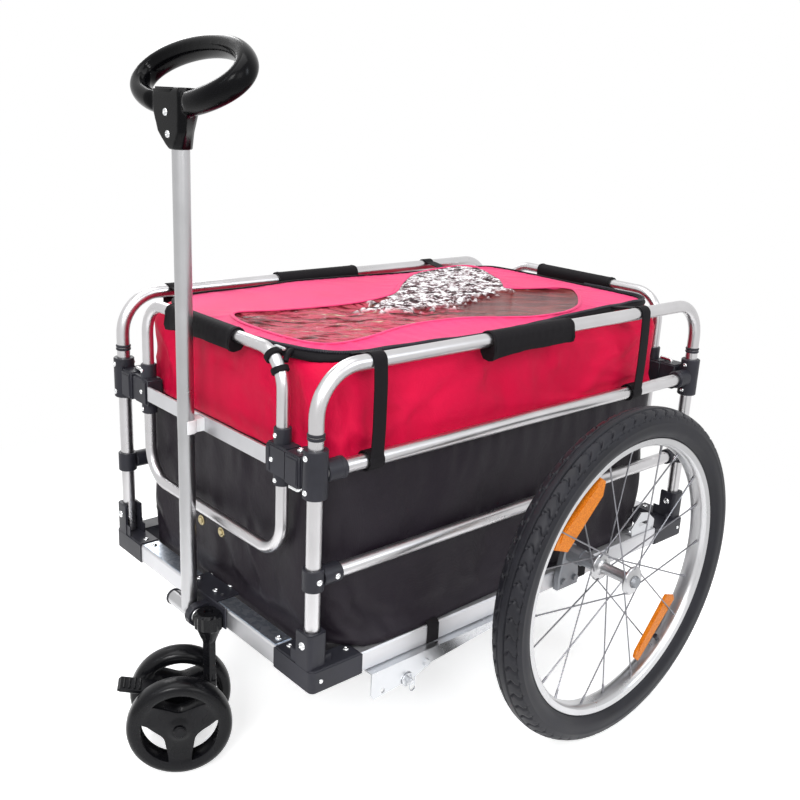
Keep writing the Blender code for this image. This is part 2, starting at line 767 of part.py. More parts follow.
def lock_blocks(plastic):
    """Cubes between the rings and the tees. Two hold a captive pin and two take a lifting pin."""
    inner = JOINER_OUTER_X + FIT
    outer = HOOP_X - TEE_RADIUS - FIT
    low = BLOCK_Z - BLOCK_HEIGHT / 2
    high = BLOCK_Z + BLOCK_HEIGHT / 2
    half = BLOCK_DEPTH / 2
    corners = ((inner, -RING_Y - half, low), (outer, -RING_Y + half, high))
    head_top = (PIN_X, -RING_Y, high + 0.0025)
    head = rod((PIN_X, -RING_Y, high - 0.001), head_top, PIN_RADIUS * 1.6, SMALL_SIDES)
    path = filleted(
        [
            (PIN_X, -RING_Y, low + 0.004),
            (PIN_X, -RING_Y, low - PIN_BELOW),
            (PIN_X - PIN_HOOK, -RING_Y, low - PIN_BELOW),
        ],
        0.006,
        3,
    )
    pieces = [block(*corners, 0.002), head, sweep(path, PIN_RADIUS, SMALL_SIDES)]
    captive = fused("lock_block_front_left", pieces, material=plastic)
    mirrored(captive, "lock_block_rear_right", x=-1, y=-1)
    hole = bore((PIN_X, -RING_Y, low - 0.01), (PIN_X, -RING_Y, high + 0.01), PIN_RADIUS + RUNNING)
    plain = fused("lock_block_rear_left", [block(*corners, 0.002)], [hole], plastic)
    plain = flipped_in_place(plain)
    mirrored(plain, "lock_block_front_right", x=-1, y=-1)


def flipped_in_place(source):
    """Move an object built at the front to the rear, keeping its name."""
    source.data.transform(Matrix.Diagonal((1, -1, 1, 1)))
    source.data.flip_normals()
    source.location.y = -source.location.y
    return source


def lifting_pins(steel):
    """Pins with a hooked top, which slide up out of the joint between a ring and a side."""
    low = BLOCK_Z - BLOCK_HEIGHT / 2
    top = BLOCK_Z + BLOCK_HEIGHT / 2 + PIN_RADIUS + RUNNING
    path = filleted(
        [
            (PIN_X, -RING_Y, low - 0.004),
            (PIN_X, -RING_Y, top),
            (PIN_X - PIN_HOOK, -RING_Y, top),
        ],
        PIN_RADIUS * 1.1,
        3,
    )
    rear_left = fused(
        "lock_pin_rear_left",
        [sweep(path, PIN_RADIUS, SMALL_SIDES)],
        material=steel,
        origin=(PIN_X, -RING_Y, low),
    )
    rear_left = flipped_in_place(rear_left)
    mirrored(rear_left, "lock_pin_front_right", x=-1, y=-1)


def bag(fabric):
    """An open box of cloth, narrower at its foot, that hangs from the top bars in four loops."""
    def ring(shrink, z):
        low = (-BAG_HALF_X + shrink, -BAG_FRONT + shrink)
        high = (BAG_HALF_X - shrink, BAG_REAR - shrink)
        corner = max(BAG_CORNER - shrink, 0.01)
        return [(x, y, z) for x, y in rounded_outline(low, high, corner, 3)]

    outside = loft(
        [
            ring(BAG_FOOT_TAPER + 0.006, BAG_LOW),
            ring(BAG_FOOT_TAPER, BAG_LOW + 0.006),
            ring(0.0, MID_Z),
            ring(0.0, BAG_TOP),
        ]
    )
    inside = loft(
        [
            ring(BAG_FOOT_TAPER + BAG_WALL, BAG_LOW + BAG_WALL),
            ring(BAG_WALL, MID_Z),
            ring(BAG_WALL, BAG_TOP + 0.01),
        ]
    )
    pieces = [outside]
    for side in (-1, 1):
        inner = side * (BAG_HALF_X - BAG_FOOT_TAPER - BAG_WALL / 2)
        outer = side * BAG_HEM_X
        low = (min(inner, outer), -BAG_HEM_FRONT, RAIL_TOP + FIT)
        high = (max(inner, outer), BAG_HEM_REAR, RAIL_TOP + FIT + BAG_HEM_THICK)
        pieces.append(block(low, high, 0.002))
    bores = [inside]
    for side in (-1, 1):
        for y in (-TAB_FRONT_Y, TAB_REAR_Y):
            start = (side * HOOP_X, y - TAB_WIDTH / 2, HOOP_TOP)
            end = (side * HOOP_X, y + TAB_WIDTH / 2, HOOP_TOP)
            pieces.append(rod(start, end, TUBE + FIT + TAB_THICK + 0.0005))
            inner = side * (BAG_HALF_X - BAG_WALL / 2)
            outer = side * (HOOP_X - TUBE * 0.6)
            low = (min(inner, outer), y - TAB_WIDTH / 2, BAG_TOP - 0.006)
            high = (max(inner, outer), y + TAB_WIDTH / 2, BAG_TOP - 0.0005)
            pieces.append(block(low, high))
            way = Vector((0, 0.01, 0))
            bores.append(bore(Vector(start) - way, Vector(end) + way, TUBE + FIT))
    fused("bag", pieces, bores, fabric)


def cover(fabric):
    """The top cover, a crowned panel with a soft edge, hinged on the bag's rear edge."""
    low = (-BAG_HALF_X - 0.001, -BAG_FRONT - COVER_LAP)
    high = (BAG_HALF_X + 0.001, BAG_REAR + COVER_LAP)

    def ring(shrink, z):
        inner_low = (low[0] + shrink, low[1] + shrink)
        inner_high = (high[0] - shrink, high[1] - shrink)
        corner = max(COVER_CORNER - shrink, 0.008)
        return [(x, y, z) for x, y in rounded_outline(inner_low, inner_high, corner, 3)]

    top = COVER_LOW + COVER_THICK
    panel = loft(
        [
            ring(COVER_EDGE, COVER_LOW),
            ring(0.0, COVER_LOW + COVER_EDGE),
            ring(0.0, top - COVER_EDGE),
            ring(COVER_EDGE, top),
            ring(0.060, top + COVER_CROWN * 0.7),
            ring(0.120, top + COVER_CROWN),
        ]
    )
    hinge = (0.0, high[1], COVER_LOW + COVER_THICK / 2)
    fused("cover", [panel], material=fabric, origin=hinge)


def grip(name, fabric, centre, along_x, tube):
    """A carry sleeve wrapped round a top bar."""
    across = tube + FIT + GRIP_ACROSS
    tall = tube + FIT + GRIP_TALL
    half = GRIP_LENGTH / 2
    sections = []
    for end, scale in ((-half, 0.90), (-half + 0.006, 1.0), (half - 0.006, 1.0), (half, 0.90)):
        section = []
        for u, v in ellipse(across * scale, tall * scale, ROUND_SIDES, 2.3):
            offset = (end, u, v - 0.0015) if along_x else (u, end, v - 0.0015)
            section.append(Vector(centre) + Vector(offset))
        sections.append(section)
    way = Vector((half + 0.01, 0, 0)) if along_x else Vector((0, half + 0.01, 0))
    hole = bore(Vector(centre) - way, Vector(centre) + way, tube + FIT)
    return fused(name, [loft(sections)], [hole], fabric)


def grips(fabric):
    front = (GRIP_MIDDLE_X, -RING_Y, RING_TOP)
    grip("grip_front", fabric, front, True, RING_TUBE)
    rear = (GRIP_MIDDLE_X, RING_Y, RING_TOP)
    grip("grip_rear", fabric, rear, True, RING_TUBE)
    side = grip("grip_left", fabric, (HOOP_X, GRIP_MIDDLE_Y, HOOP_TOP), False, TUBE)
    mirrored(side, "grip_right", x=-1)


def pole_bracket(plastic):
    """A saddle screwed to the front rail, with the journal of the cross tube and the caster's seat."""
    top = RAIL_TOP + FIT + SADDLE_THICK
    lip = CASTER_X + HEAD_RADIUS
    pieces = [
        block(
            (-SADDLE_HALF_X, -DROP_Y, RAIL_TOP + FIT),
            (SADDLE_HALF_X, -RAIL_IN_Y + SADDLE_BACK, top),
            0.001,
        ),
        block(
            (-SADDLE_HALF_X, -DROP_Y, RAIL_LOW),
            (lip, -SADDLE_FRONT_Y, top),
            0.001,
        ),
    ]
    for x in SADDLE_SCREWS_X:
        for inward in SADDLE_SCREWS_IN:
            y = inward - RAIL_OUT_Y
            pieces.append(rod((x, y, top - 0.001), (x, y, top + SCREW_RISE), SCREW_HEAD, SMALL_SIDES))
    outer = POLE + RUNNING + JOURNAL_WALL
    start = POLE + JOURNAL_GAP
    outline = [(-DROP_Y + 0.001, CROSS_Z - outer), (-DROP_Y + 0.001, CROSS_Z + outer)]
    outline += arc((-POLE_Y, CROSS_Z), outer, 90, 270, 6)
    pieces.append(prism(outline, "X", start, start + JOURNAL_LENGTH, 0.001))
    hole = bore(
        (start - 0.01, -POLE_Y, CROSS_Z),
        (start + JOURNAL_LENGTH + 0.01, -POLE_Y, CROSS_Z),
        POLE + RUNNING,
        ROUND_SIDES,
    )
    fused("pole_bracket", pieces, [hole], plastic)


def pull_handle(aluminium, plastic):
    """The pole is welded to a cross tube, which turns in the bracket's journal."""
    origin = (0.0, -POLE_Y, CROSS_Z)
    right_end = (-CROSS_RIGHT, -POLE_Y, CROSS_Z)
    cap_start = (-CROSS_RIGHT - 0.0025, -POLE_Y, CROSS_Z)
    cap_end = (-CROSS_RIGHT + 0.006, -POLE_Y, CROSS_Z)
    pieces = [
        rod((0, -POLE_Y, CROSS_Z), (0, -POLE_Y, POLE_TOP), POLE, ROUND_SIDES),
        rod(right_end, (CROSS_LEFT, -POLE_Y, CROSS_Z), POLE, ROUND_SIDES),
        rod(cap_start, cap_end, POLE + 0.001, ROUND_SIDES),
    ]
    fused("handle_pole", pieces, material=aluminium, origin=origin)
    slope = Vector((0, math.cos(HANDLE_TILT), math.sin(HANDLE_TILT)))
    normal = Vector((0, -math.sin(HANDLE_TILT), math.cos(HANDLE_TILT)))
    centre = Vector((0, -HANDLE_Y, HANDLE_Z))
    bm = bmesh.new()
    rows = []
    for i in range(HANDLE_STEPS):
        angle = 2 * math.pi * i / HANDLE_STEPS
        c = math.cos(angle)
        s = math.sin(angle)
        middle = centre + Vector((HANDLE_HALF_WIDTH * c, 0, 0)) + slope * (HANDLE_HALF_DEPTH * s)
        middle.y += HANDLE_TUCK * max(0.0, -s) ** 6
        outward = (Vector((HANDLE_HALF_DEPTH * c, 0, 0)) + slope * (HANDLE_HALF_WIDTH * s)).normalized()
        section = ellipse(HANDLE_ROUND, HANDLE_DEEP, RING_SIDES)
        rows.append([bm.verts.new(middle + outward * u + normal * v) for u, v in section])
    for first, second in zip(rows, rows[1:] + rows[:1]):
        for k in range(RING_SIDES):
            j = (k + 1) % RING_SIDES
            bm.faces.new((first[k], first[j], second[j], second[k]))
    ring = as_object(bm)
    sections = []
    faces = []
    for share, front_half, back_half, ahead, corner in NECK_SECTIONS:
        z = NECK_LOW + NECK_HEIGHT * share
        outline = keystone(front_half, back_half, -POLE_Y - ahead, -POLE_Y + NECK_BACK, corner)
        sections.append([(x, y, z) for x, y in outline])
        faces.append((z, -POLE_Y - ahead))
    neck = loft(sections)
    hole = bore((0, -POLE_Y, NECK_LOW - 0.01), (0, -POLE_Y, POLE_TOP + FIT), POLE + FIT, ROUND_SIDES)
    screws = []
    for height in NECK_SCREW_RISES:
        z = NECK_LOW + height
        below = max(face for face in faces if face[0] <= z)
        above = min(face for face in faces if face[0] > z)
        share = (z - below[0]) / (above[0] - below[0])
        face = below[1] + (above[1] - below[1]) * share
        screws.append(rod((0, face + NECK_SCREW / 2, z), (0, face - SCREW_RISE, z), NECK_SCREW, SMALL_SIDES))
    fused("handle_ring", [neck, ring, *screws], [hole], plastic, origin)


def pole_clip(plastic):
    """A spring clip on the front flat bar, open to the front, that holds the pole upright."""
    steps = 8
    inner = (POLE + FIT) / math.cos(math.pi / 2 / steps)
    outer = inner + CLIP_WALL
    flat_front = -RING_Y - JOINER_FRONT + 0.0008
    outline = [(-outer, -POLE_Y - CLIP_ARM)]
    outline += [(-inner, -POLE_Y - CLIP_ARM)]
    outline += arc((0, -POLE_Y), inner, 180, 0, steps)
    outline += [(inner, -POLE_Y - CLIP_ARM), (outer, -POLE_Y - CLIP_ARM)]
    outline += arc((0, -POLE_Y), outer, 0, 50, 3)
    outline += [(0.009, flat_front - FIT), (-0.009, flat_front - FIT)]
    outline += arc((0, -POLE_Y), outer, 130, 180, 3)
    low = FLAT_BAR_Z - CLIP_HEIGHT / 2
    fused("pole_clip", [prism(outline, "Z", low, low + CLIP_HEIGHT, 0.0004)], material=plastic)


def fluted(centre, levels, count):
    """A round post with flutes. Each level is a height with its ridge and groove radii."""
    sections = []
    for z, ridge, groove in levels:
        section = []
        for i in range(2 * count):
            angle = math.pi * i / count
            radius = groove if i % 2 else ridge
            section.append((centre[0] + radius * math.cos(angle), centre[1] + radius * math.sin(angle), z))
        sections.append(section)
    return loft(sections)


def caster_head(plastic):
    """A ribbed cup against the bracket, narrowing to the swivel bearing."""
    rib = 0.0016
    levels = [
        (HEAD_LOW, STEM + 0.003, STEM + 0.003),
        (HEAD_LOW + 0.012, HEAD_RADIUS - 0.004, HEAD_RADIUS - 0.004),
        (HEAD_LOW + 0.016, HEAD_RADIUS, HEAD_RADIUS - rib),
        (HEAD_TOP - 0.003, HEAD_RADIUS, HEAD_RADIUS - rib),
        (HEAD_TOP, HEAD_RADIUS - 0.0045, HEAD_RADIUS - 0.0045),
    ]
    body = fluted((CASTER_X, -CASTER_Y), levels, HEAD_RIBS)
    low = HEAD_LOW - 0.01
    high = HEAD_TOP + 0.01
    journal_end = POLE + JOURNAL_GAP + JOURNAL_LENGTH + FIT
    cuts = [
        block((0, -DROP_Y - FIT, low), (0.2, -DROP_Y + 0.03, high)),
        block((-0.02, -0.5, low), (journal_end, -0.3, high)),
        bore((CASTER_X, -CASTER_Y, low), (CASTER_X, -CASTER_Y, high), PIVOT_PIN + RUNNING),
    ]
    fused("caster_head", [body], cuts, plastic)


def caster_fork(plastic, swivel):
    """The fluted stem, the arm that trails behind it, and the axle, in the swivel's own frame."""
    trail = -CASTER_TRAIL
    flute = 0.0012
    levels = [
        (STEM_LOW, STEM + 0.001, STEM + 0.001),
        (STEM_LOW + 0.024, STEM + flute, STEM),
        (ARM_TOP - 0.006, STEM + flute, STEM),
        (ARM_TOP, STEM + 0.0025, STEM + 0.0025),
    ]
    pieces = [
        fluted((0, 0), levels, STEM_FLUTES),
        rod((0, 0, ARM_TOP - 0.004), (0, 0, HEAD_TOP - 0.004), PIVOT_PIN),
    ]
    outline = [(STEM, STEM_LOW + 0.012), (STEM, STEM_LOW)]
    outline += arc((trail, CASTER_WHEEL), 0.017, 330, 180, 5)
    outline += arc((trail - PEDAL_PIN_AHEAD, PEDAL_PIN_Z), 0.0065, 190, 90, 2)
    outline += [(-0.034, STEM_LOW + 0.006), (-STEM, STEM_LOW + 0.012)]
    pieces.append(prism(outline, "X", -ARM_HALF, ARM_HALF, 0.0025))
    side = CASTER_HALF_TRACK - CASTER_TREAD / 2 - RUNNING
    pieces.append(rod((-side, trail, CASTER_WHEEL), (side, trail, CASTER_WHEEL), 0.011))
    out = CASTER_HALF_TRACK + CASTER_TREAD / 2 + RUNNING
    pieces.append(rod((-out - 0.001, trail, CASTER_WHEEL), (out + 0.001, trail, CASTER_WHEEL), CASTER_AXLE))
    for way in (-1, 1):
        start = (way * out, trail, CASTER_WHEEL)
        end = (way * (out + 0.0035), trail, CASTER_WHEEL)
        pieces.append(rod(start, end, CASTER_AXLE + 0.003))
    pin_y = trail - PEDAL_PIN_AHEAD
    pin_start = (-PEDAL_HALF, pin_y, PEDAL_PIN_Z)
    pin_end = (PEDAL_HALF, pin_y, PEDAL_PIN_Z)
    pieces.append(rod(pin_start, pin_end, PEDAL_PIN, SMALL_SIDES))
    fused("caster_fork", pieces, material=plastic, parent=swivel)


def brake_pedal(plastic, swivel):
    """A ribbed tongue whose two cheeks turn on the pin at the arm's nose."""
    clear = ARM_HALF + FIT
    eye = 0.0062
    root = -0.0100
    end = -PEDAL_LENGTH
    lift = math.tan(PEDAL_RISE) * PEDAL_LENGTH
    outline = arc((0, 0), eye, -120, 90, 6)
    outline += [
        (root, 0.003 + PEDAL_THICK),
        (end + 0.004, PEDAL_THICK + 0.003 + lift),
        (end, PEDAL_THICK + lift),
        (end, 0.004 + lift),
        (end + 0.004, 0.002 + lift),
        (root, 0.002),
    ]
    pieces = [prism(outline, "X", -PEDAL_HALF, PEDAL_HALF, 0.0008)]
    for i in range(4):
        y = end + 0.009 + 0.007 * i
        z = PEDAL_THICK + 0.0030 - math.tan(PEDAL_RISE) * y
        pieces.append(rod((-PEDAL_HALF + 0.003, y, z), (PEDAL_HALF - 0.003, y, z), 0.0016, 5))
    hole = bore((-0.03, 0, 0), (0.03, 0, 0), PEDAL_PIN + FIT, SMALL_SIDES)
    nose = block((-clear, root + 0.0004, -0.02), (clear, 0.02, 0.02))
    pedal = fused("brake_pedal", pieces, [nose, hole], plastic, parent=swivel)
    pedal.location = (0, -CASTER_TRAIL - PEDAL_PIN_AHEAD, PEDAL_PIN_Z)


def caster_wheels(plastic, swivel):
    """Moulded wheels with three spokes between a wide tread and the hub."""
    half = CASTER_TREAD / 2
    inner = CASTER_WHEEL - CASTER_RIM
    web = CASTER_WEB / 2
    hole = CASTER_AXLE + RUNNING
    profile = [
        (hole, -half),
        (CASTER_HUB, -half),
        (CASTER_HUB + 0.002, -web),
        (inner, -half + 0.001),
        (CASTER_WHEEL - 0.0035, -half + 0.001),
        (CASTER_WHEEL, -half + 0.009),
        (CASTER_WHEEL, half - 0.009),
        (CASTER_WHEEL - 0.0035, half - 0.001),
        (inner, half - 0.001),
        (CASTER_HUB + 0.002, web),
        (CASTER_HUB, half),
        (hole, half),
    ]
    wheel = lathe(profile, (0, 0, 0), (1, 0, 0), CASTER_SIDES)
    cuts = []
    for i in range(3):
        middle = CASTER_OPENING_TURN + 120 * i
        outline = arc((0, 0), inner - 0.0045, middle - 46, middle + 46, 5)
        outline += arc((0, 0), CASTER_HUB + 0.008, middle + 30, middle - 30, 3)
        cuts.append(prism(outline, "X", -half - 0.01, half + 0.01))
    place = (CASTER_HALF_TRACK, -CASTER_TRAIL, CASTER_WHEEL)
    near = fused("caster_wheel_left", [wheel], cuts, plastic, parent=swivel)
    near.location = place
    far = finished("caster_wheel_right", near.data.copy(), plastic, place, swivel)
    far.location.x = -CASTER_HALF_TRACK


def road_wheel_mount(casting):
    """A bracket on the side rail that carries the fixed stub axle."""
    face = RAIL_OUT_X + FIT
    half = MOUNT_FOOT / 2
    low = RAIL_LOW + 0.001
    outline = [(WHEEL_Y - half, low), (WHEEL_Y + half, low), (WHEEL_Y + half, RAIL_TOP - 0.006)]
    outline += arc((WHEEL_Y, WHEEL_RADIUS), MOUNT_BOSS, 20, 160, 6)
    outline += [(WHEEL_Y - half, RAIL_TOP - 0.006)]
    barrel_face = HUB_INNER - 0.004
    tip = HUB_OUTER + 0.004 + RUNNING

    def on_axle(x):
        return (x, WHEEL_Y, WHEEL_RADIUS)

    boss_end = face + MOUNT_BOSS_LONG
    collar_start = boss_end - 0.004
    nut_end = tip + AXLE_NUT_THICK
    boss = rod(on_axle(face + 0.002), on_axle(boss_end), MOUNT_BOSS - 0.002, ROUND_SIDES, MOUNT_BOSS - 0.003)
    nut = rod(on_axle(tip), on_axle(nut_end), AXLE_NUT, TUBE_SIDES, AXLE_NUT - 0.002)
    pieces = [
        prism(outline, "X", face, face + MOUNT_THICK, 0.002),
        boss,
        rod(on_axle(collar_start), on_axle(barrel_face - RUNNING), AXLE_COLLAR),
        rod(on_axle(collar_start), on_axle(tip + 0.001), AXLE_RADIUS),
        nut,
    ]
    for y in (WHEEL_Y - half + MOUNT_BOLT_IN, WHEEL_Y + half - MOUNT_BOLT_IN):
        z = (RAIL_LOW + RAIL_TOP) / 2
        start = face + MOUNT_THICK
        pieces.append(rod((start - 0.001, y, z), (start + 0.0035, y, z), BOLT_HEAD, 6))
    left = fused("axle_mount_left", pieces, material=casting)
    mirrored(left, "axle_mount_right", x=-1)


def tyres(rubber, origin):
    bead = RIM_RADIUS - RIM_WELL + FIT
    half = TYRE_HALF
    crown = WHEEL_RADIUS
    right = [
        (bead, RIM_HALF - 0.0042),
        (RIM_RADIUS + 0.0006, RIM_HALF - 0.0038),
        (RIM_RADIUS + 0.0080, half - 0.0016),
        (RIM_RADIUS + 0.0190, half),
        (crown - 0.0085, half - 0.0040),
        (crown, half - 0.0145),
    ]
    profile = [(r, WHEEL_X + x) for r, x in right]
    profile += [(r, WHEEL_X - x) for r, x in reversed(right)]
    ring = lathe(profile, (0, WHEEL_Y, WHEEL_RADIUS), (1, 0, 0), WHEEL_SIDES)
    left = fused("tyre_left", [ring], material=rubber, origin=origin)
    mirrored(left, "tyre_right", x=-1)


def rims(aluminium, origin):
    bed = RIM_RADIUS - RIM_WELL
    right = [
        (RIM_RADIUS - RIM_DEPTH, 0.0060),
        (RIM_RADIUS - RIM_DEPTH + 0.0035, RIM_HALF - 0.0025),
        (RIM_RADIUS, RIM_HALF - 0.0004),
        (bed, RIM_HALF - 0.0030),
    ]
    profile = [(r, WHEEL_X + x) for r, x in right]
    profile += [(r, WHEEL_X - x) for r, x in reversed(right)]
    ring = lathe(profile, (0, WHEEL_Y, WHEEL_RADIUS), (1, 0, 0), WHEEL_SIDES)
    left = fused("rim_left", [ring], material=aluminium, origin=origin)
    mirrored(left, "rim_right", x=-1)


def spokes():
    """All spokes of one wheel. They leave each flange forwards and backwards in turn and cross."""
    bm = bmesh.new()
    centre = Vector((0, WHEEL_Y, WHEEL_RADIUS))
    flange = FLANGE_RADIUS - 0.004
    for i in range(SPOKE_COUNT):
        inner_flange = i % 2
        lead = 1 if (i // 2) % 2 else -1
        end_angle = 2 * math.pi * i / SPOKE_COUNT
        start_angle = end_angle + lead * SPOKE_LEAN
        middle = HUB_INNER if inner_flange else HUB_OUTER
        start_x = middle + lead * SPOKE_STAGGER / 2
        end_x = WHEEL_X + (-0.003 if inner_flange else 0.003)
        start = centre + Vector((start_x, flange * math.cos(start_angle), flange * math.sin(start_angle)))
        end = centre + Vector((end_x, SPOKE_END * math.cos(end_angle), SPOKE_END * math.sin(end_angle)))
        way = (end - start).normalized()
        turn = way.to_track_quat("Z", "Y").to_matrix().to_4x4()
        rows = []
        for point in (start, end):
            row = []
            for k in range(4):
                angle = math.pi * (k + 0.5) / 2
                offset = turn @ Vector((SPOKE_RADIUS * math.cos(angle), SPOKE_RADIUS * math.sin(angle), 0))
                row.append(bm.verts.new(point + offset))
            rows.append(row)
        for k in range(4):
            j = (k + 1) % 4
            bm.faces.new((rows[0][k], rows[0][j], rows[1][j], rows[1][k]))
        bm.faces.new(rows[0])
        bm.faces.new(rows[1])
    return as_object(bm)


def hubs(aluminium, origin):
    """A barrel with two flanges, laced to the rim with crossed spokes."""
    half = FLANGE_THICK / 2 + 0.0008
    hole = AXLE_RADIUS + RUNNING
    barrel = BARREL_RADIUS
    left_end = HUB_OUTER + 0.004
    right_end = HUB_INNER - 0.004
    profile = [
        (hole, right_end),
        (0.0115, right_end),
        (0.0135, HUB_INNER - half),
        (FLANGE_RADIUS, HUB_INNER - half),
        (FLANGE_RADIUS, HUB_INNER + half),
        (barrel, HUB_INNER + half + 0.003),
        (barrel, HUB_OUTER - half - 0.003),
        (FLANGE_RADIUS, HUB_OUTER - half),
        (FLANGE_RADIUS, HUB_OUTER + half),
        (0.0135, HUB_OUTER + half),
        (0.0115, left_end),
        (hole, left_end),
    ]
    barrel_solid = lathe(profile, (0, WHEEL_Y, WHEEL_RADIUS), (1, 0, 0), ROUND_SIDES)
    left = fused("hub_left", [barrel_solid, spokes()], material=aluminium, origin=origin)
    mirrored(left, "hub_right", x=-1)


def tow_bracket(steel):
    """A channel under the left rail whose deep front takes the tow bar and its pin."""
    top = RAIL_LOW - FIT

    def wall(front, low_x):
        outline = [
            (-front, top),
            (-front, TOW_DEEP + 0.006),
            (-front + 0.004, TOW_DEEP),
            (-TOW_TALL_REAR, TOW_DEEP_REAR),
            (-TOW_STRIP_FRONT, TOW_SHALLOW),
            (-TOW_REAR, TOW_SHALLOW_REAR),
            (-TOW_REAR, top),
        ]
        return prism(outline, "X", low_x, low_x + TOW_PLATE)

    inner = wall(TOW_INNER_FRONT, TOW_INNER_X)
    outer = wall(TOW_FRONT, TOW_OUTER_X - TOW_PLATE)
    web = block((TOW_INNER_X + 0.001, -TOW_FRONT, top - TOW_PLATE), (TOW_OUTER_X - 0.001, -TOW_REAR, top))
    bolt_start = (TOW_OUTER_X - 0.001, -TOW_BOLT_Y, TOW_BOLT_Z)
    bolt_end = (TOW_OUTER_X + BOLT_RISE, -TOW_BOLT_Y, TOW_BOLT_Z)
    bolt = rod(bolt_start, bolt_end, BOLT_HEAD, SMALL_SIDES)
    cuts = []
    for y, z, radius in ((TOW_PIN_Y, TOW_PIN_Z, HITCH_PIN + RUNNING), (TOW_HOLE_Y, TOW_HOLE_Z, TOW_HOLE)):
        cuts.append(bore((TOW_INNER_X - 0.01, -y, z), (TOW_OUTER_X + 0.01, -y, z), radius, SMALL_SIDES))
    fused("tow_bracket", [outer, web, inner, bolt], cuts, steel)


def hitch_pin(steel):
    """A clevis pin with a washer-like head and a spring clip through its tip."""
    start = TOW_INNER_X - 0.007
    face = TOW_OUTER_X + RUNNING
    y = -TOW_PIN_Y
    pieces = [
        rod((start, y, TOW_PIN_Z), (face + 0.010, y, TOW_PIN_Z), HITCH_PIN, SMALL_SIDES),
        rod((face, y, TOW_PIN_Z), (face + 0.0018, y, TOW_PIN_Z), HITCH_PIN + 0.006),
    ]
    clip = face + 0.0055
    path = filleted(
        [
            (clip, y, TOW_PIN_Z + 0.008),
            (clip, y, TOW_PIN_Z - 0.016),
            (clip, y + 0.010, TOW_PIN_Z - 0.016),
            (clip, y + 0.0075, TOW_PIN_Z + 0.004),
        ],
        0.004,
        2,
    )
    pieces.append(sweep(path, 0.0011, 5))
    fused("hitch_pin", pieces, material=steel, origin=(TOW_OUTER_X, y, TOW_PIN_Z))


def slotted_plate(steel):
    """A bent plate that stands on the left rail ahead of the rear casting, with a slot for a clamp screw."""
    face = SLOT_PLATE_X
    low = RAIL_TOP + FIT
    high = low + SLOT_PLATE_HEIGHT
    front = SLOT_PLATE_FRONT
    rear = SLOT_PLATE_REAR
    outline = [
        (front + 0.004, low),
        (front, low + 0.014),
        (front + 0.023, high),
        (front + 0.044, high - 0.005),
        (rear, high - 0.021),
        (rear, low),
    ]
    plate = prism(outline, "X", face, face + SLOT_PLATE_THICK)
    flange_top = low + SLOT_PLATE_THICK
    flange = block((face - SLOT_PLATE_FLANGE, front + 0.006, low), (face + 0.001, rear, flange_top))
    middle = (front + rear) / 2
    z = low + SLOT_RISE
    slot = arc((middle + SLOT_LENGTH / 2 - SLOT_HALF, z), SLOT_HALF, -90, 90, 4)
    slot += arc((middle - SLOT_LENGTH / 2 + SLOT_HALF, z), SLOT_HALF, 90, 270, 4)
    cut = prism(slot, "X", face - 0.01, face + 0.01)
    bolts = []
    x = face - SLOT_PLATE_FLANGE / 2
    for y in (middle - SLOT_PLATE_SCREWS, middle + SLOT_PLATE_SCREWS):
        bolts.append(rod((x, y, low + 0.001), (x, y, flange_top + SCREW_RISE), SCREW_HEAD, SMALL_SIDES))
    fused("slotted_plate", [plate, flange, *bolts], [cut], steel)


clear_scene()
FRAME = bpy.data.objects.new("trailer_frame", None)
FRAME.location = (0.0, FRAME_Y, 0.0)
bpy.context.scene.collection.objects.link(FRAME)
SWIVEL = bpy.data.objects.new("caster_swivel_axis", None)
SWIVEL.location = (CASTER_X, -CASTER_Y, 0.0)
SWIVEL.rotation_euler = (0.0, 0.0, CASTER_TURN)
SWIVEL.parent = FRAME
bpy.context.scene.collection.objects.link(SWIVEL)

ALUMINIUM = make_material("satin_aluminium", (0.72, 0.73, 0.75), 0.34, 1.0)
CASTING = make_material("cast_aluminium", (0.50, 0.51, 0.53), 0.50, 1.0)
STEEL = make_material("zinc_steel", (0.62, 0.63, 0.65), 0.30, 1.0)
PLASTIC = make_material("black_plastic", (0.022, 0.022, 0.024), 0.42, 0.0)
RUBBER = make_material("tyre_rubber", (0.030, 0.030, 0.032), 0.75, 0.0)
FABRIC = make_material("red_fabric", (0.55, 0.02, 0.06), 0.80, 0.0)
WEBBING = make_material("black_webbing", (0.025, 0.022, 0.028), 0.85, 0.0)

rails(ALUMINIUM)
corner_castings(PLASTIC)
side_hoops(ALUMINIUM)
side_tees(PLASTIC)
side_bars(ALUMINIUM)
end_rings(ALUMINIUM)
ring_joiners(PLASTIC)
lock_blocks(PLASTIC)
lifting_pins(STEEL)
bag(FABRIC)
cover(FABRIC)
grips(WEBBING)
pole_bracket(PLASTIC)
pull_handle(ALUMINIUM, PLASTIC)
pole_clip(PLASTIC)
caster_head(PLASTIC)
caster_fork(PLASTIC, SWIVEL)
brake_pedal(PLASTIC, SWIVEL)
caster_wheels(PLASTIC, SWIVEL)
WHEEL_ORIGIN = (WHEEL_X, WHEEL_Y, WHEEL_RADIUS)
road_wheel_mount(CASTING)
tyres(RUBBER, WHEEL_ORIGIN)
rims(ALUMINIUM, WHEEL_ORIGIN)
hubs(ALUMINIUM, WHEEL_ORIGIN)
tow_bracket(STEEL)
hitch_pin(STEEL)
slotted_plate(STEEL)
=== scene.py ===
"""Looks of the bike cargo trailer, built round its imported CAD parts.

Metres. Pieces are modelled in the frame's own coordinates, where the four legs stand evenly
about the origin, and moved back by FRAME_Y. The front is at -Y and the left side at +X.
"""

import math

import bmesh
import bpy
import numpy as np
from mathutils import Matrix, Vector, noise


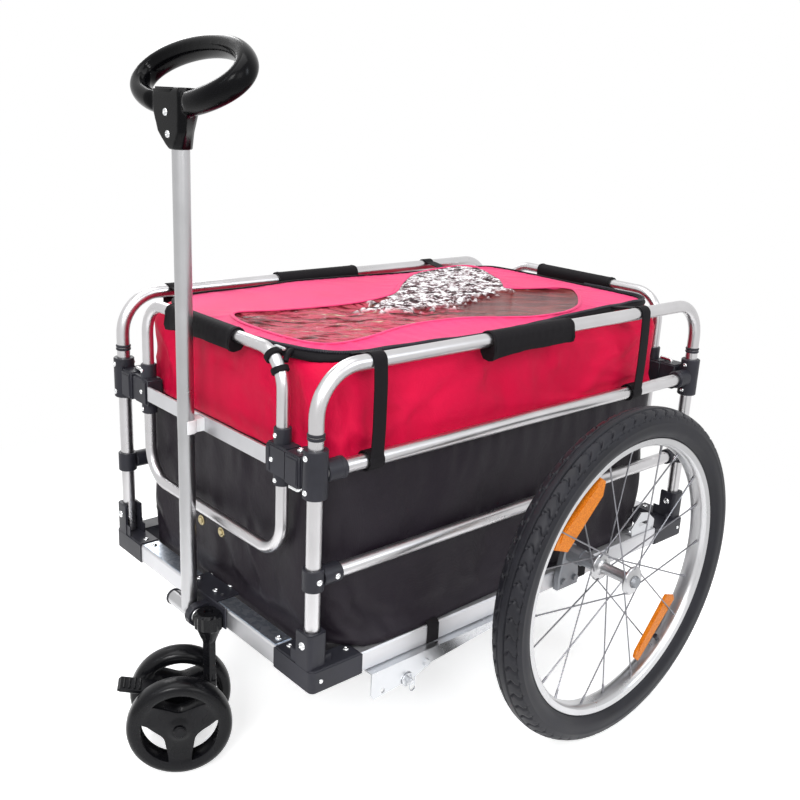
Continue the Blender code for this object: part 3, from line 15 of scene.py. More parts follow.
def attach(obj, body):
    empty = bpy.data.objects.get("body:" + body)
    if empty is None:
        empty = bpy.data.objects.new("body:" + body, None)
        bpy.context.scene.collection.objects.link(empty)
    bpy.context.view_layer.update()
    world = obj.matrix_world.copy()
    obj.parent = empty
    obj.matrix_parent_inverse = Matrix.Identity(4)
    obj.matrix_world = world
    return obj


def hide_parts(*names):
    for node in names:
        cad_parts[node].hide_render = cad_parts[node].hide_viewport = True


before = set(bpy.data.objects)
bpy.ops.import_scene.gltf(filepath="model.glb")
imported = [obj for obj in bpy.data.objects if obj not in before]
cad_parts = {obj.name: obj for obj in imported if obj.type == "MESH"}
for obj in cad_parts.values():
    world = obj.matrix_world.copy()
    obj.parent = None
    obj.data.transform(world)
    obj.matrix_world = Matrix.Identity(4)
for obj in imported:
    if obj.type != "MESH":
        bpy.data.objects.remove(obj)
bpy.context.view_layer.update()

# The frame's own origin, and the caster's swivel, turned as it stands at rest
FRAME_Y = 0.0659
SHIFT = Matrix.Translation((0.0, FRAME_Y, 0.0))
SWIVEL = SHIFT @ Matrix.Translation((0.047, -0.4125, 0.0)) @ Matrix.Rotation(math.radians(-30.33), 4, "Z")
SIDE, BACK, UP = Vector((1, 0, 0)), Vector((0, 1, 0)), Vector((0, 0, 1))

# Side frames and end rings
HOOP_X, LEG_Y, TUBE = 0.239, 0.3834, 0.0095
HOOP_TOP, HOOP_BEND, LEG_FOOT = 0.5946, 0.058, 0.2235
MID_Z, LOW_Z = 0.4715, 0.337
RING_X, RING_Y, RING_TUBE = 0.168, 0.380, 0.008
RING_TOP, RING_BOTTOM, RING_BEND, RING_SPLIT = 0.5977, 0.3354, 0.046, 0.4708
JOINER_LOW, JOINER_HIGH, BLOCK_LOW, BLOCK_HIGH = 0.434, 0.5076, 0.448, 0.489
PIN_X, PIN_RADIUS, PIN_HOOK = 0.2054, 0.003, 0.0205
FIT = 0.0003
LEG, RING_LEG = Vector((HOOP_X, -LEG_Y, 0)), Vector((RING_X, -RING_Y, 0))

# Base
RAIL_OUT_X, RAIL_OUT_Y, RAIL_LOW, RAIL_TOP, RAIL_WIDTH = 0.257, 0.396, 0.192, 0.220, 0.030
CORNER_TOP, CORNER_LOW, CORNER_ARM, SOCKET_TOP, PIVOT_Z = 0.222, 0.190, 0.080, 0.268, 0.251

# Pull handle
POLE_Y, POLE, POLE_FOOT, POLE_TOP = 0.4153, 0.011, 0.200, 0.858
HANDLE, HANDLE_TILT = Vector((0.0, -0.3998, 0.9027)), math.radians(46)
HANDLE_WIDE, HANDLE_DEEP, NECK_LOW, NECK_TALL = 0.109, 0.048, 0.817, 0.071

# Caster and road wheels
ROLLER, ROLLER_R, SPOKE_IN, SPOKE_OUT = Vector((0.040, -0.0403, 0.070)), 0.070, 0.0250, 0.0515
WHEEL = Vector((0.3563, 0.0766, 0.250))
HUB = Vector((0, WHEEL.y, WHEEL.z))
TYRE_R, TYRE_HALF, TREAD_TURN, TREAD_CUT = 0.2500, 0.0235, math.radians(66), 0.0026
HUB_IN, HUB_OUT, FLANGE, SPOKES, SPOKE_LEAN, SPOKE_END = 0.323, 0.378, 0.0215, 20, math.radians(62), 0.1960

# Bag and cover
BAG_X, BAG_FRONT, BAG_REAR, BAG_LOW, BAG_CORNER = 0.2215, -0.360, 0.332, 0.200, 0.045
COVER_Z, SEAM_Z, HEM_Z = 0.5945, 0.4615, 0.2217
AROUND = 420
STRAP_HALF, STRAP_THICK = 0.010, 0.0014
SNAPS = ((-0.0571, 0.2984), (-0.0030, 0.3002))
WINDOW = (
    (0.060, -0.336), (0.120, -0.330), (0.150, -0.318), (0.164, -0.290), (0.155, -0.235), (0.138, -0.180),
    (0.130, -0.120), (0.138, -0.050), (0.163, 0.002), (0.182, 0.050), (0.183, 0.115), (0.164, 0.168),
    (0.137, 0.206), (0.103, 0.244), (0.070, 0.270), (0.046, 0.258), (0.036, 0.225), (0.012, 0.178),
    (-0.020, 0.200), (-0.055, 0.228), (-0.120, 0.262), (-0.172, 0.282), (-0.190, 0.245), (-0.165, 0.130),
    (-0.110, 0.050), (-0.050, -0.020), (-0.024, -0.090), (-0.018, -0.160), (-0.030, -0.250),
    (-0.046, -0.310), (-0.006, -0.333),
)
# The part of the window's film that is crushed, where the material paints white glints
CRUSHED = (
    (0.030, -0.150), (0.062, -0.075), (0.058, -0.002), (0.026, 0.153), (0.000, 0.300), (-0.300, 0.300),
    (-0.260, 0.080), (-0.120, 0.000), (-0.040, -0.060),
)
# The cover's edge over the left side, from front to rear
NEAR_EDGE = (
    (0.060, -0.360), (0.105, -0.356), (0.134, -0.350), (0.168, -0.337), (0.188, -0.318), (0.1985, -0.280),
    (0.2010, -0.235), (0.2030, -0.179), (0.2110, -0.130), (0.2155, -0.095), (0.2120, -0.050), (0.2070, 0.000),
    (0.2030, 0.040), (0.1930, 0.110), (0.1865, 0.190), (0.1810, 0.250), (0.1790, 0.300), (0.1630, 0.325),
    (0.120, 0.3315), (0.060, 0.3325),
)
# Lines of folds on the red band, each two ends, half width and height, all along a side and up
SIDE_FOLDS = (
    (-0.060, 0.575, -0.170, 0.500, 0.016, 0.0050), (-0.100, 0.570, -0.020, 0.480, 0.022, -0.0045),
    (0.072, 0.570, 0.045, 0.520, 0.008, 0.0035), (0.195, 0.545, 0.110, 0.478, 0.018, 0.0050),
    (0.262, 0.572, 0.160, 0.535, 0.012, 0.0040), (-0.337, 0.575, -0.306, 0.462, 0.007, -0.0040),
    (-0.320, 0.570, -0.290, 0.465, 0.010, 0.0035), (-0.262, 0.585, -0.222, 0.470, 0.010, 0.0035),
    (0.260, 0.508, 0.140, 0.496, 0.010, 0.0035), (-0.235, 0.566, -0.100, 0.545, 0.012, 0.0035),
    (-0.190, 0.524, 0.050, 0.480, 0.018, 0.0045), (-0.110, 0.468, 0.110, 0.474, 0.008, 0.0030),
    (0.285, 0.560, 0.300, 0.470, 0.008, -0.0035), (0.015, 0.580, 0.100, 0.480, 0.016, -0.0035),
)
END_FOLDS = (
    (0.120, 0.592, -0.004, 0.488, 0.014, 0.0045), (-0.075, 0.500, 0.112, 0.488, 0.010, 0.0040),
    (0.060, 0.550, 0.140, 0.524, 0.009, 0.0035), (-0.175, 0.565, -0.115, 0.492, 0.012, 0.0040),
    (-0.065, 0.538, 0.070, 0.556, 0.010, -0.0035), (-0.020, 0.572, -0.045, 0.474, 0.010, 0.0035),
    (0.150, 0.580, 0.178, 0.475, 0.009, -0.0035),
)
# The same for the black band
LOW_SIDE_FOLDS = (
    (-0.330, 0.450, -0.300, 0.240, 0.012, -0.0045), (-0.300, 0.400, -0.200, 0.250, 0.016, 0.0040),
    (-0.230, 0.330, -0.250, 0.235, 0.008, 0.0055), (-0.160, 0.300, -0.090, 0.235, 0.010, 0.0050),
    (-0.060, 0.310, -0.085, 0.240, 0.008, -0.0045), (0.010, 0.300, 0.050, 0.235, 0.010, 0.0050),
    (0.120, 0.330, 0.090, 0.240, 0.010, 0.0045), (-0.290, 0.262, -0.140, 0.250, 0.008, 0.0050),
    (-0.120, 0.252, 0.060, 0.260, 0.008, 0.0045), (0.220, 0.440, 0.180, 0.260, 0.018, 0.0040),
    (-0.120, 0.440, -0.150, 0.300, 0.022, 0.0035), (0.060, 0.440, 0.100, 0.300, 0.022, -0.0035),
    (-0.345, 0.300, -0.290, 0.245, 0.007, 0.0060), (-0.318, 0.275, -0.262, 0.236, 0.006, -0.0050),
)
LOW_END_FOLDS = (
    (0.190, 0.440, 0.150, 0.260, 0.014, 0.0040), (0.140, 0.300, 0.195, 0.235, 0.009, 0.0060),
    (0.060, 0.330, 0.110, 0.235, 0.010, 0.0050), (-0.010, 0.300, 0.040, 0.230, 0.009, -0.0045),
    (-0.120, 0.340, -0.080, 0.235, 0.012, 0.0045), (-0.190, 0.300, -0.130, 0.240, 0.009, 0.0050),
    (0.030, 0.255, 0.170, 0.246, 0.007, 0.0050), (-0.150, 0.250, -0.020, 0.258, 0.007, 0.0045),
)
# How far the black cloth spreads over a side rail at its foot, along the rail
HEM_PLACES = (-0.345, -0.3335, -0.306, -0.278, -0.2228, -0.155, -0.054, 0.05, 0.15, 0.222, 0.240, 0.252)
HEM_REACHES = (0.0, 0.009, 0.0250, 0.0315, 0.0325, 0.0280, 0.0250, 0.0235, 0.0240, 0.0225, 0.0120, 0.0)

# Where copies of a piece stand, each with its mirroring in X and Y
ONE = {"": (1, 1)}
LEFT_RIGHT = {"left": (1, 1), "right": (-1, 1)}
FRONT_REAR = {"front": (1, 1), "rear": (1, -1)}
CORNERS = {"front_left": (1, 1), "front_right": (-1, 1), "rear_left": (1, -1), "rear_right": (-1, -1)}
CAPTIVE = {"front_left": (1, 1), "rear_right": (-1, -1)}
LIFTED = {"rear_left": (1, 1), "front_right": (-1, -1)}

# Materials: name, colour and roughness, then the values that metal(), moulded() and cloth() take
EVEN = (1.0, 1.0, 1.0)
METALS = {
    "tube": ("satin_tube", (0.64, 0.63, 0.64), 0.30, 0.04, (1.0, 1.0, 0.15)),
    "pole": ("satin_pole", (0.50, 0.50, 0.51), 0.30, 0.04, (1.0, 1.0, 0.15)),
    "rail": ("mill_rail", (0.68, 0.68, 0.70), 0.46, 0.05, (0.15, 0.15, 1.0)),
    "cast": ("cast_bracket", (0.27, 0.28, 0.30), 0.45, 0.08, EVEN, 0.00006),
    "zinc": ("bright_zinc", (0.60, 0.61, 0.63), 0.27, 0.07),
    "spoke": ("spoke_steel", (0.24, 0.24, 0.26), 0.32, 0.04),
    "screw": ("screw_steel", (0.78, 0.79, 0.80), 0.22, 0.04),
    "brass": ("brass_snap", (0.50, 0.42, 0.24), 0.36, 0.05),
    "rim": ("wheel_rim", (0.56, 0.56, 0.57), 0.30, 0.04),
}
MOULDINGS = {
    "plastic": ("black_moulding", (0.022, 0.022, 0.029), 0.42, 0.00004),
    "gloss": ("handle_moulding", (0.0020, 0.0020, 0.0026), 0.19, 0.000002, 0.09),
    "wheel": ("caster_moulding", (0.0050, 0.0050, 0.0062), 0.25, 0.000008, 0.17),
    "white": ("pale_clip", (0.72, 0.73, 0.74), 0.40, 0.00002),
    "rubber": ("tyre_rubber", (0.013, 0.013, 0.017), 0.46, 0.00004, 0.24),
}
CLOTHS = {
    "red": ("red_side_cloth", (0.73, 0.005, 0.056), 0.52, 0.0013, 0.12),
    # The cover's cloth is the sides' red, made lighter and pinker as painted top light
    "red_painted_top_light": ("red_top_cloth", (0.88, 0.053, 0.205), 0.58, 0.0006, 0.14, 0.08),
    "black": ("black_side_cloth", (0.0125, 0.0085, 0.0140), 0.44, 0.0016, 0.22),
    "web": ("black_webbing", (0.0065, 0.0055, 0.0070), 0.66, 0.0002, 0.14, 0.0, 220.0, 0.75),
}
# The record's slot for each material of a new piece. The reflectors' amber has none.
SLOTS = {
    "satin_aluminium": ("tube", "pole", "rim", "spoke"),
    "zinc_steel": ("screw", "brass", "galvanised"),
    "black_plastic": ("plastic", "gloss"),
    "wheel_plastic": ("wheel",),
    "tyre_rubber": ("rubber",),
    "black_webbing": ("web",),
    "red_fabric": ("red", "red_painted_top_light", "black", "film"),
}
# The CAD nodes that stay, with the material that each gets
REPAINTS = {
    "wheel": ("caster_head", "caster_fork", "brake_pedal"),
    "rail": ("rail_front", "rail_rear", "rail_left", "rail_right", "flat_bar_front", "flat_bar_rear"),
    "zinc": ("tow_bracket", "hitch_pin", "slotted_plate"),
    "cast": ("axle_mount_left", "axle_mount_right"),
    "plastic": ("pole_bracket",),
    "white": ("pole_clip",),
}
# Lamps, all aimed at the middle of the object: place, size, watts and colour
LAMP_AIM = Vector((0.0, 0.0, 0.4))
LAMPS = {
    "key": ((0.3, -0.6, 3.2), (2.6, 2.6), 54, EVEN),
    "side": ((2.0, -2.5, 2.1), (0.9, 0.9), 50, EVEN),
    "fill": ((2.6, -0.6, 1.5), (1.2, 1.2), 11, EVEN),
    "back": ((-2.7, 0.7, 2.0), (1.2, 1.2), 22, EVEN),
    "window": ((2.3, 1.1, 1.9), (0.34, 1.1), 12, (0.86, 0.93, 1.0)),
    "strip": ((0.2, -2.6, 2.3), (0.20, 1.1), 7, (0.90, 0.95, 1.0)),
}


# Materials

def feed(tree, node, inputs):
    """Set a node's inputs to plain values, or join them to sockets."""
    for key, value in inputs.items():
        if isinstance(value, bpy.types.NodeSocket):
            tree.links.new(value, node.inputs[key])
        else:
            node.inputs[key].default_value = value


def add(tree, kind, inputs, **settings):
    node = tree.nodes.new("ShaderNode" + kind)
    for key, value in settings.items():
        setattr(node, key, value)
    feed(tree, node, inputs)
    return node


def surface(tree, **inputs):
    """Set or join inputs of a material's surface, each named with _ for a space."""
    feed(tree, tree.nodes["Principled BSDF"], {key.replace("_", " "): value for key, value in inputs.items()})


def shader(name, colour, **inputs):
    """A material with a principled surface, and its node tree."""
    material = bpy.data.materials.new(name)
    material.use_nodes = True
    material.diffuse_color = (*colour, 1.0)
    surface(material.node_tree, Base_Color=(*colour, 1.0), **inputs)
    return material, material.node_tree


def place_on(tree, stretch=EVEN, turn=0.0):
    """Object coordinates, scaled along each axis and turned about the vertical."""
    inputs = {
        "Vector": add(tree, "TexCoord", {}).outputs["Object"],
        "Rotation": (0.0, 0.0, math.radians(turn)),
        "Scale": [1 / value for value in stretch],
    }
    return add(tree, "Mapping", inputs, vector_type="TEXTURE").outputs["Vector"]


def noise_of(tree, scale, detail, stretch=EVEN, rough=0.55, turn=0.0):
    inputs = {"Vector": place_on(tree, stretch, turn), "Scale": scale, "Detail": detail, "Roughness": rough}
    return add(tree, "TexNoise", inputs).outputs["Fac"]


def waves(tree, axis, scale):
    inputs = {"Vector": place_on(tree), "Scale": scale, "Distortion": 0.4, "Detail": 1.0}
    return add(tree, "TexWave", inputs, wave_type="BANDS", bands_direction=axis).outputs["Fac"]


def cells_of(tree, scale):
    """The grey of flat random cells, and the distance from their middles."""
    cells = add(tree, "TexVoronoi", {"Vector": place_on(tree), "Scale": scale}).outputs
    return add(tree, "RGBToBW", {"Color": cells["Color"]}).outputs["Val"], cells["Distance"]


def spread(tree, value, low, high, start=0.3, end=0.7, **settings):
    """Values from start to end spread over low to high."""
    inputs = {"Value": value, "From Min": start, "From Max": end, "To Min": low, "To Max": high}
    return add(tree, "MapRange", inputs, **settings).outputs["Result"]


def combined(tree, operation, total, *values):
    for value in values:
        total = add(tree, "Math", {0: total, 1: value}, operation=operation).outputs["Value"]
    return total


def ramped(tree, value, stops):
    """Colours along a value, given as (place, colour) pairs."""
    ramp = add(tree, "ValToRGB", {"Fac": value})
    for k, (place, colour) in enumerate(stops):
        stop = ramp.color_ramp.elements[k] if k < 2 else ramp.color_ramp.elements.new(place)
        stop.position = place
        stop.color = (*colour, 1.0)
    return ramp.outputs["Color"]


def mixed(tree, share, first, second):
    return add(tree, "Mix", {"Factor": share, "A": first, "B": second}, data_type="RGBA").outputs["Result"]


def tinted(tree, value, dark, light):
    """Vary the base colour from dark to light with a value."""
    surface(tree, Base_Color=ramped(tree, value, ((0.32, dark), (0.68, light))))


def bumped(tree, value, distance, strength=1.0, **after):
    """Bump the surface by a value, over another bump if its Normal is given."""
    bump = add(tree, "Bump", {"Height": value, "Distance": distance, "Strength": strength, **after})
    surface(tree, Normal=bump.outputs["Normal"])
    return bump.outputs["Normal"]


def shaded(colour, share):
    return [part * share for part in colour]


def metal(name, colour, roughness, uneven, stretch=EVEN, grain=0.000005):
    """Drawn or rolled metal, its fine scratches along the stretched axis."""
    material, tree = shader(name, colour, Metallic=1.0)
    cloud = noise_of(tree, 14.0, 4.0)
    surface(tree, Roughness=spread(tree, cloud, roughness - uneven, roughness + uneven))
    tinted(tree, cloud, shaded(colour, 0.90), colour)
    bumped(tree, noise_of(tree, 900.0, 2.0, stretch), grain)
    return material


def moulded(name, colour, roughness, grain, shine=0.26):
    """Moulded plastic with a fine spark-eroded grain and slightly uneven gloss."""
    material, tree = shader(name, colour, Specular_IOR_Level=shine)
    cloud = noise_of(tree, 22.0, 3.0)
    surface(tree, Roughness=spread(tree, cloud, roughness - 0.06, roughness + 0.08))
    tinted(tree, cloud, shaded(colour, 0.8), shaded(colour, 1.25))
    bumped(tree, noise_of(tree, 1400.0, 2.0), grain)
    return material


def cloth(name, colour, roughness, wrinkle, shine, sheen=0.0, threads=300.0, shade=0.82):
    """Plain-woven cloth: crossing threads, faint creases and uneven dye."""
    material, tree = shader(name, colour, Roughness=roughness, Specular_IOR_Level=shine)
    surface(tree, Sheen_Weight=sheen, Sheen_Roughness=0.45)
    tinted(tree, noise_of(tree, 9.0, 5.0), shaded(colour, shade), colour)
    weave = combined(tree, "ADD", *(waves(tree, axis, threads) for axis in "XYZ"))
    fold = bumped(tree, noise_of(tree, 26.0, 5.0, rough=0.62), wrinkle, 0.8)
    bumped(tree, weave, 0.00012, 0.5, Normal=fold)
    return material


def galvanised():
    """Hot-dip zinc, whose crystals show as flat patches."""
    material, tree = shader("galvanised_strip", (0.62, 0.67, 0.74), Roughness=0.34, Metallic=1.0)
    tinted(tree, cells_of(tree, 190.0)[0], (0.50, 0.56, 0.64), (0.70, 0.75, 0.82))
    return material


def amber():
    """Transparent orange plastic with rows of small prisms behind its face."""
    material, tree = shader("amber_reflector", (0.66, 0.18, 0.010), Roughness=0.30, Specular_IOR_Level=0.12)
    surface(tree, Coat_Weight=0.14, Coat_Roughness=0.08)
    grey, depth = cells_of(tree, 700.0)
    tinted(tree, grey, (0.62, 0.165, 0.007), (0.76, 0.235, 0.012))
    bumped(tree, depth, 0.0003, 0.4)
    return material


def film():
    """Clear vinyl over the bag's hold, its colour painted: the hold's shade seen through it, reflections
    streaked in front, and white glints where it is crushed and bunched.
    """
    def streaky(detail, stretch, rough):
        return noise_of(tree, 1.0, detail, stretch, rough, turn=54.4)

    material, tree = shader(
        "film_painted_shade_and_glints", (0.20, 0.03, 0.035), Roughness=0.10, IOR=1.22, Specular_IOR_Level=0.16)
    zone = add(tree, "Attribute", {}, attribute_name="zone").outputs["Color"]
    parts = add(tree, "SeparateColor", {"Color": zone}).outputs
    # Painted reflections and painted shade in streaks across the front of the film
    streaks = ramped(tree, streaky(7.0, (15.0, 115.0, 60.0), 0.68), (
        (0.36, (0.030, 0.006, 0.006)), (0.44, (0.22, 0.020, 0.028)), (0.50, (0.66, 0.09, 0.15)),
        (0.56, (0.80, 0.15, 0.22)), (0.61, (0.34, 0.09, 0.05)), (0.67, (0.92, 0.68, 0.56)),
    ))
    # Painted white glints between painted dark gaps on the crushed film
    bright = ramped(tree, streaky(5.0, (52.0, 125.0, 60.0), 0.66), (
        (0.42, (0.030, 0.014, 0.018)), (0.49, (0.26, 0.17, 0.18)), (0.54, (0.88, 0.86, 0.88)), (0.70, EVEN),
    ))
    # Painted shade of the hold seen through the smooth film
    smooth = ramped(tree, streaky(4.0, (14.0, 60.0, 60.0), 0.5), (
        (0.35, (0.10, 0.012, 0.016)), (0.65, (0.30, 0.060, 0.055)),
    ))
    front = mixed(tree, parts["Green"], smooth, streaks)
    surface(tree, Base_Color=mixed(tree, parts["Red"], front, bright))
    surface(tree, Transmission_Weight=spread(tree, parts["Red"], 0.30, 0.0, 0.0, 1.0))
    bumped(tree, streaky(5.0, (40.0, 120.0, 80.0), 0.65), 0.0016, 0.7)
    return material


M = {key: metal(*values) for key, values in METALS.items()}
M.update({key: moulded(*values) for key, values in MOULDINGS.items()})
M.update({key: cloth(*values) for key, values in CLOTHS.items()})
M.update(galvanised=galvanised(), amber=amber(), film=film())


# Numbers and outlines

def clamp(value):
    return min(1.0, max(0.0, value))


def limited(value, most):
    """A value eased so that it never passes the most."""
    return most * np.tanh(value / most)


def polar(radius, turn):
    return radius * math.cos(turn), radius * math.sin(turn)


def circle(sides):
    return np.linspace(0, 2 * math.pi, sides, endpoint=False)


def arc(centre, radius, start, end, steps):
    """Points on a circle from one angle to another, in degrees."""
    turns = [math.radians(start + (end - start) * i / steps) for i in range(steps + 1)]
    return [(centre[0] + radius * math.cos(t), centre[1] + radius * math.sin(t)) for t in turns]


def rounded(low, high, radius, steps=6):
    """A rectangle with round corners."""
    (x0, y0), (x1, y1) = low, high
    points = []
    for x, y, start in ((x1, y1, 0), (x0, y1, 90), (x0, y0, 180), (x1, y0, 270)):
        middle = (x + math.copysign(radius, x0 + x1 - 2 * x), y + math.copysign(radius, y0 + y1 - 2 * y))
        points += arc(middle, radius, start, start + 90, steps)
    return points


def edges_of(outline):
    return zip(outline, outline[1:] + outline[:1])


def mirrored_back(profile):
    """A profile of (radius, place) pairs with its mirror image in reverse order."""
    return profile + [(r, -x) for r, x in reversed(profile)]


def filleted(points, radius, steps):
    """A path whose inner corners are replaced by arcs."""
    path = [Vector(points[0])]
    for before, corner, after in zip(points, points[1:], points[2:]):
        corner = Vector(corner)
        inward = (Vector(before) - corner).normalized()
        onward = (Vector(after) - corner).normalized()
        half = inward.angle(onward) / 2
        centre = corner + (inward + onward).normalized() * (radius / math.sin(half))
        start = corner + inward * (radius / math.tan(half)) - centre
        end = corner + onward * (radius / math.tan(half)) - centre
        turn = start.angle(end)
        for share in np.linspace(0, 1, steps + 1):
            a, b = math.sin((1 - share) * turn), math.sin(share * turn)
            path.append(centre + (start * a + end * b) / math.sin(turn))
    path.append(Vector(points[-1]))
    return path


def smooth_loop(points, count, closed=True):
    """Evenly spaced points along a smooth curve through the given ones."""
    points = [Vector(point) for point in points]
    n = len(points)
    dense = []
    for i in range(n if closed else n - 1):
        places = range(i - 1, i + 3)
        p0, p1, p2, p3 = (points[k % n if closed else min(max(k, 0), n - 1)] for k in places)
        for k in range(24):
            t = k / 24
            curve = (2 * p1) + (p2 - p0) * t + (2 * p0 - 5 * p1 + 4 * p2 - p3) * t * t
            dense.append(0.5 * (curve + (3 * p1 - p0 - 3 * p2 + p3) * t ** 3))
    dense.append(dense[0].copy() if closed else points[-1].copy())
    lengths = [0.0]
    for a, b in zip(dense, dense[1:]):
        lengths.append(lengths[-1] + (b - a).length)
    goals = np.linspace(0, lengths[-1], count, endpoint=not closed)
    axes = [np.interp(goals, lengths, [point[axis] for point in dense]) for axis in range(3)]
    return [Vector(point) for point in zip(*axes)]


def frames(path, closed=False):
    """Each point of a path with its direction and two directions across it, without twist."""
    path = [Vector(point) for point in path]
    across = None
    for i, point in enumerate(path):
        before = path[i - 1] if i or closed else point
        after = path[(i + 1) % len(path)] if i < len(path) - 1 or closed else point
        way = (after - before).normalized()
        if across is None:
            across = way.orthogonal().normalized()
        across = (across - way * across.dot(way)).normalized()
        yield point, way, across, way.cross(across)


# Shapes, each added to a mesh under construction

def skin(bm, rows, closed=False, caps=True):
    """Join rows of points with the same count by quads, with flat ends or none."""
    made = [[bm.verts.new(point) for point in row] for row in rows]
    for first, second in zip(made, made[1:] + made[:1] if closed else made[1:]):
        for k in range(len(first)):
            j = (k + 1) % len(first)
            bm.faces.new((first[k], first[j], second[j], second[k]))
    if caps and not closed:
        bm.faces.new(made[0])
        bm.faces.new(made[-1])


def ring(centre, a, b, radius, sides):
    return [centre + (a * math.cos(t) + b * math.sin(t)) * radius for t in circle(sides)]


def tube(bm, path, radius, sides, radii=None, closed=False):
    """A round tube along a path, or a closed one along a loop."""
    radii = radii or [radius] * len(path)
    rows = [ring(point, a, b, r, sides) for r, (point, _, a, b) in zip(radii, frames(path, closed))]
    skin(bm, rows, closed)


def flat_tube(bm, loop, radius, flat):
    """A closed tube along a level loop, its height a share of its width."""
    rows = []
    for point, way, _, _ in frames(loop, True):
        rows.append(ring(point, way.cross(UP).normalized(), UP * flat, radius, 10))
    skin(bm, rows, closed=True)


def level(place, way, radii, along):
    """A ring of points across an axis, one for each radius, at a distance along it."""
    turn = Vector(way).to_track_quat("Z", "Y").to_matrix()
    return [Vector(place) + turn @ Vector((*polar(r, t), along)) for r, t in zip(radii, circle(len(radii)))]


def turned(bm, profile, centre, axis, sides):
    """Turn a closed profile of (radius, distance along) pairs about an axis."""
    skin(bm, list(zip(*(level(centre, axis, [r] * sides, z) for r, z in profile))), closed=True)


def post(bm, base, way, low, high, radius, sides=40, bevel=0.0008):
    """A solid round post with chamfered ends, between two distances from its base."""
    profile = ((radius - bevel, low), (radius, low + bevel), (radius, high - bevel), (radius - bevel, high))
    skin(bm, [level(base, way, [r] * sides, z) for r, z in profile])


def sleeve(bm, base, way, low, high, outer, inner, bevel=0.001):
    """A hollow round sleeve with chamfered mouths, between two distances from its base."""
    outside = [(outer - bevel, low), (outer, low + bevel), (outer, high - bevel), (outer - bevel, high)]
    turned(bm, [(inner, low), *outside, (inner, high)], base, way, 40)


def screw(bm, place, way, radius=0.0040, height=0.0018):
    """A domed head with a cross recess."""
    dome = ((1.0, -0.5), (1.0, 0.25), (0.90, 0.62), (0.66, 0.90), (0.42, 1.0))
    rows = [level(place, way, [radius * r] * 24, height * z) for r, z in dome]
    cross = [radius * (0.14 if k % 6 else 0.40) for k in range(24)]
    skin(bm, [*rows, level(place, way, cross, height * 0.35)])


def box(bm, low, high, bevel, steps=2):
    low, high = Vector(low), Vector(high)
    fresh = set(bmesh.ops.create_cube(bm, size=1.0)["verts"])
    for vert in fresh:
        vert.co = low + Vector((share + 0.5) * size for share, size in zip(vert.co, high - low))
    edges = [edge for edge in bm.edges if set(edge.verts) <= fresh]
    bmesh.ops.bevel(bm, geom=edges, offset=bevel, segments=steps, affect="EDGES")


def prism(bm, outline, axis, start, end, bevel=0.0, steps=2):
    """Extrude a closed outline along an axis and round its end edges."""
    order = {"X": (2, 0, 1), "Y": (0, 2, 1), "Z": (0, 1, 2)}[axis]
    ends = [[bm.verts.new([(*pair, along)[k] for k in order]) for pair in outline] for along in (start, end)]
    faces = [bm.faces.new(verts) for verts in ends]
    for first, second in zip(edges_of(ends[0]), edges_of(ends[1])):
        faces.append(bm.faces.new((*first, *reversed(second))))
    bmesh.ops.recalc_face_normals(bm, faces=faces)
    if bevel:
        rims = [edge for face in faces[:2] for edge in face.edges]
        bmesh.ops.bevel(bm, geom=rims, offset=bevel, segments=steps, affect="EDGES")


def ribbon(bm, path, low, high, closed=False):
    """A woven strap whose (x, z) path runs between two y positions."""
    edge, half = 0.0006, STRAP_THICK / 2
    face = [(low, -half), (low + edge, -half * 1.15), (high - edge, -half * 1.15), (high, -half)]
    section = face + [(y, -depth) for y, depth in reversed(face)]
    rows = []
    for point, way, _, _ in frames([(x, 0, z) for x, z in path], closed):
        side = Vector((way.z, 0, -way.x))
        lean = 0.0 if closed else wobble(point, 3 + low, 30, 0.0006)
        rows.append([point + side * depth + BACK * (y + lean) for y, depth in section])
    skin(bm, rows, closed)


# Pieces

def linked(name, data):
    """A new object in the scene."""
    obj = bpy.data.objects.new(name, data)
    bpy.context.scene.collection.objects.link(obj)
    return obj


def as_mesh(bm, name, outward=True):
    if outward:
        bmesh.ops.recalc_face_normals(bm, faces=bm.faces)
    mesh = bpy.data.meshes.new(name)
    bm.to_mesh(mesh)
    bm.free()
    return mesh


def settle(obj, material, body, node=None, slot=None):
    """Let a piece ride on a body and take the place of a CAD node. The slots it works out from its material
    or a given one are not used.
    """
    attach(obj, body)
    slots = [slot] if slot else [key for key, materials in SLOTS.items() if material in materials]
    if node:
        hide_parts(node)


def piece(name, shape, material, body="trailer", node=None, sides=ONE, slot=None, space=SHIFT, angle=38):
    """Pieces from one shape, the first as it is and the rest mirrored. {} in a name stands for the side."""
    mesh = shape if isinstance(shape, bpy.types.Mesh) else as_mesh(shape, name)
    mesh.transform(space)
    mesh.materials.append(M[material])
    mesh.shade_smooth()
    mesh.set_sharp_from_angle(angle=math.radians(angle))
    made = []
    for side, (x, y) in sides.items():
        obj = linked(name.format(side), mesh.copy() if made else mesh)
        obj.data.name = obj.name
        if made:
            obj.data.transform(space @ Matrix.Diagonal((x, y, 1, 1)) @ space.inverted())
        if x * y < 0:
            obj.data.flip_normals()
        settle(obj, material, body.format(side), node and node.format(side), slot)
        made.append(obj)
    return made[0]


def bake(obj):
    """Put the result of an object's modifiers in its mesh."""
    bpy.context.view_layer.update()
    mesh = bpy.data.meshes.new_from_object(obj.evaluated_get(bpy.context.evaluated_depsgraph_get()))
    materials = list(obj.data.materials)
    obj.modifiers.clear()
    obj.data = mesh
    mesh.materials.clear()
    for material in materials:
        mesh.materials.append(material)


def modify(obj, kind, **settings):
    modifier = obj.modifiers.new(kind.lower(), kind)
    for key, value in settings.items():
        setattr(modifier, key, value)
    return modifier


# Tube frame

def arch(start, end, foot, top, bend, steps):
    """A path that rises from a foot, bends over and comes down again."""
    return filleted([(*start, foot), (*start, top), (*end, top), (*end, foot)], bend, steps)


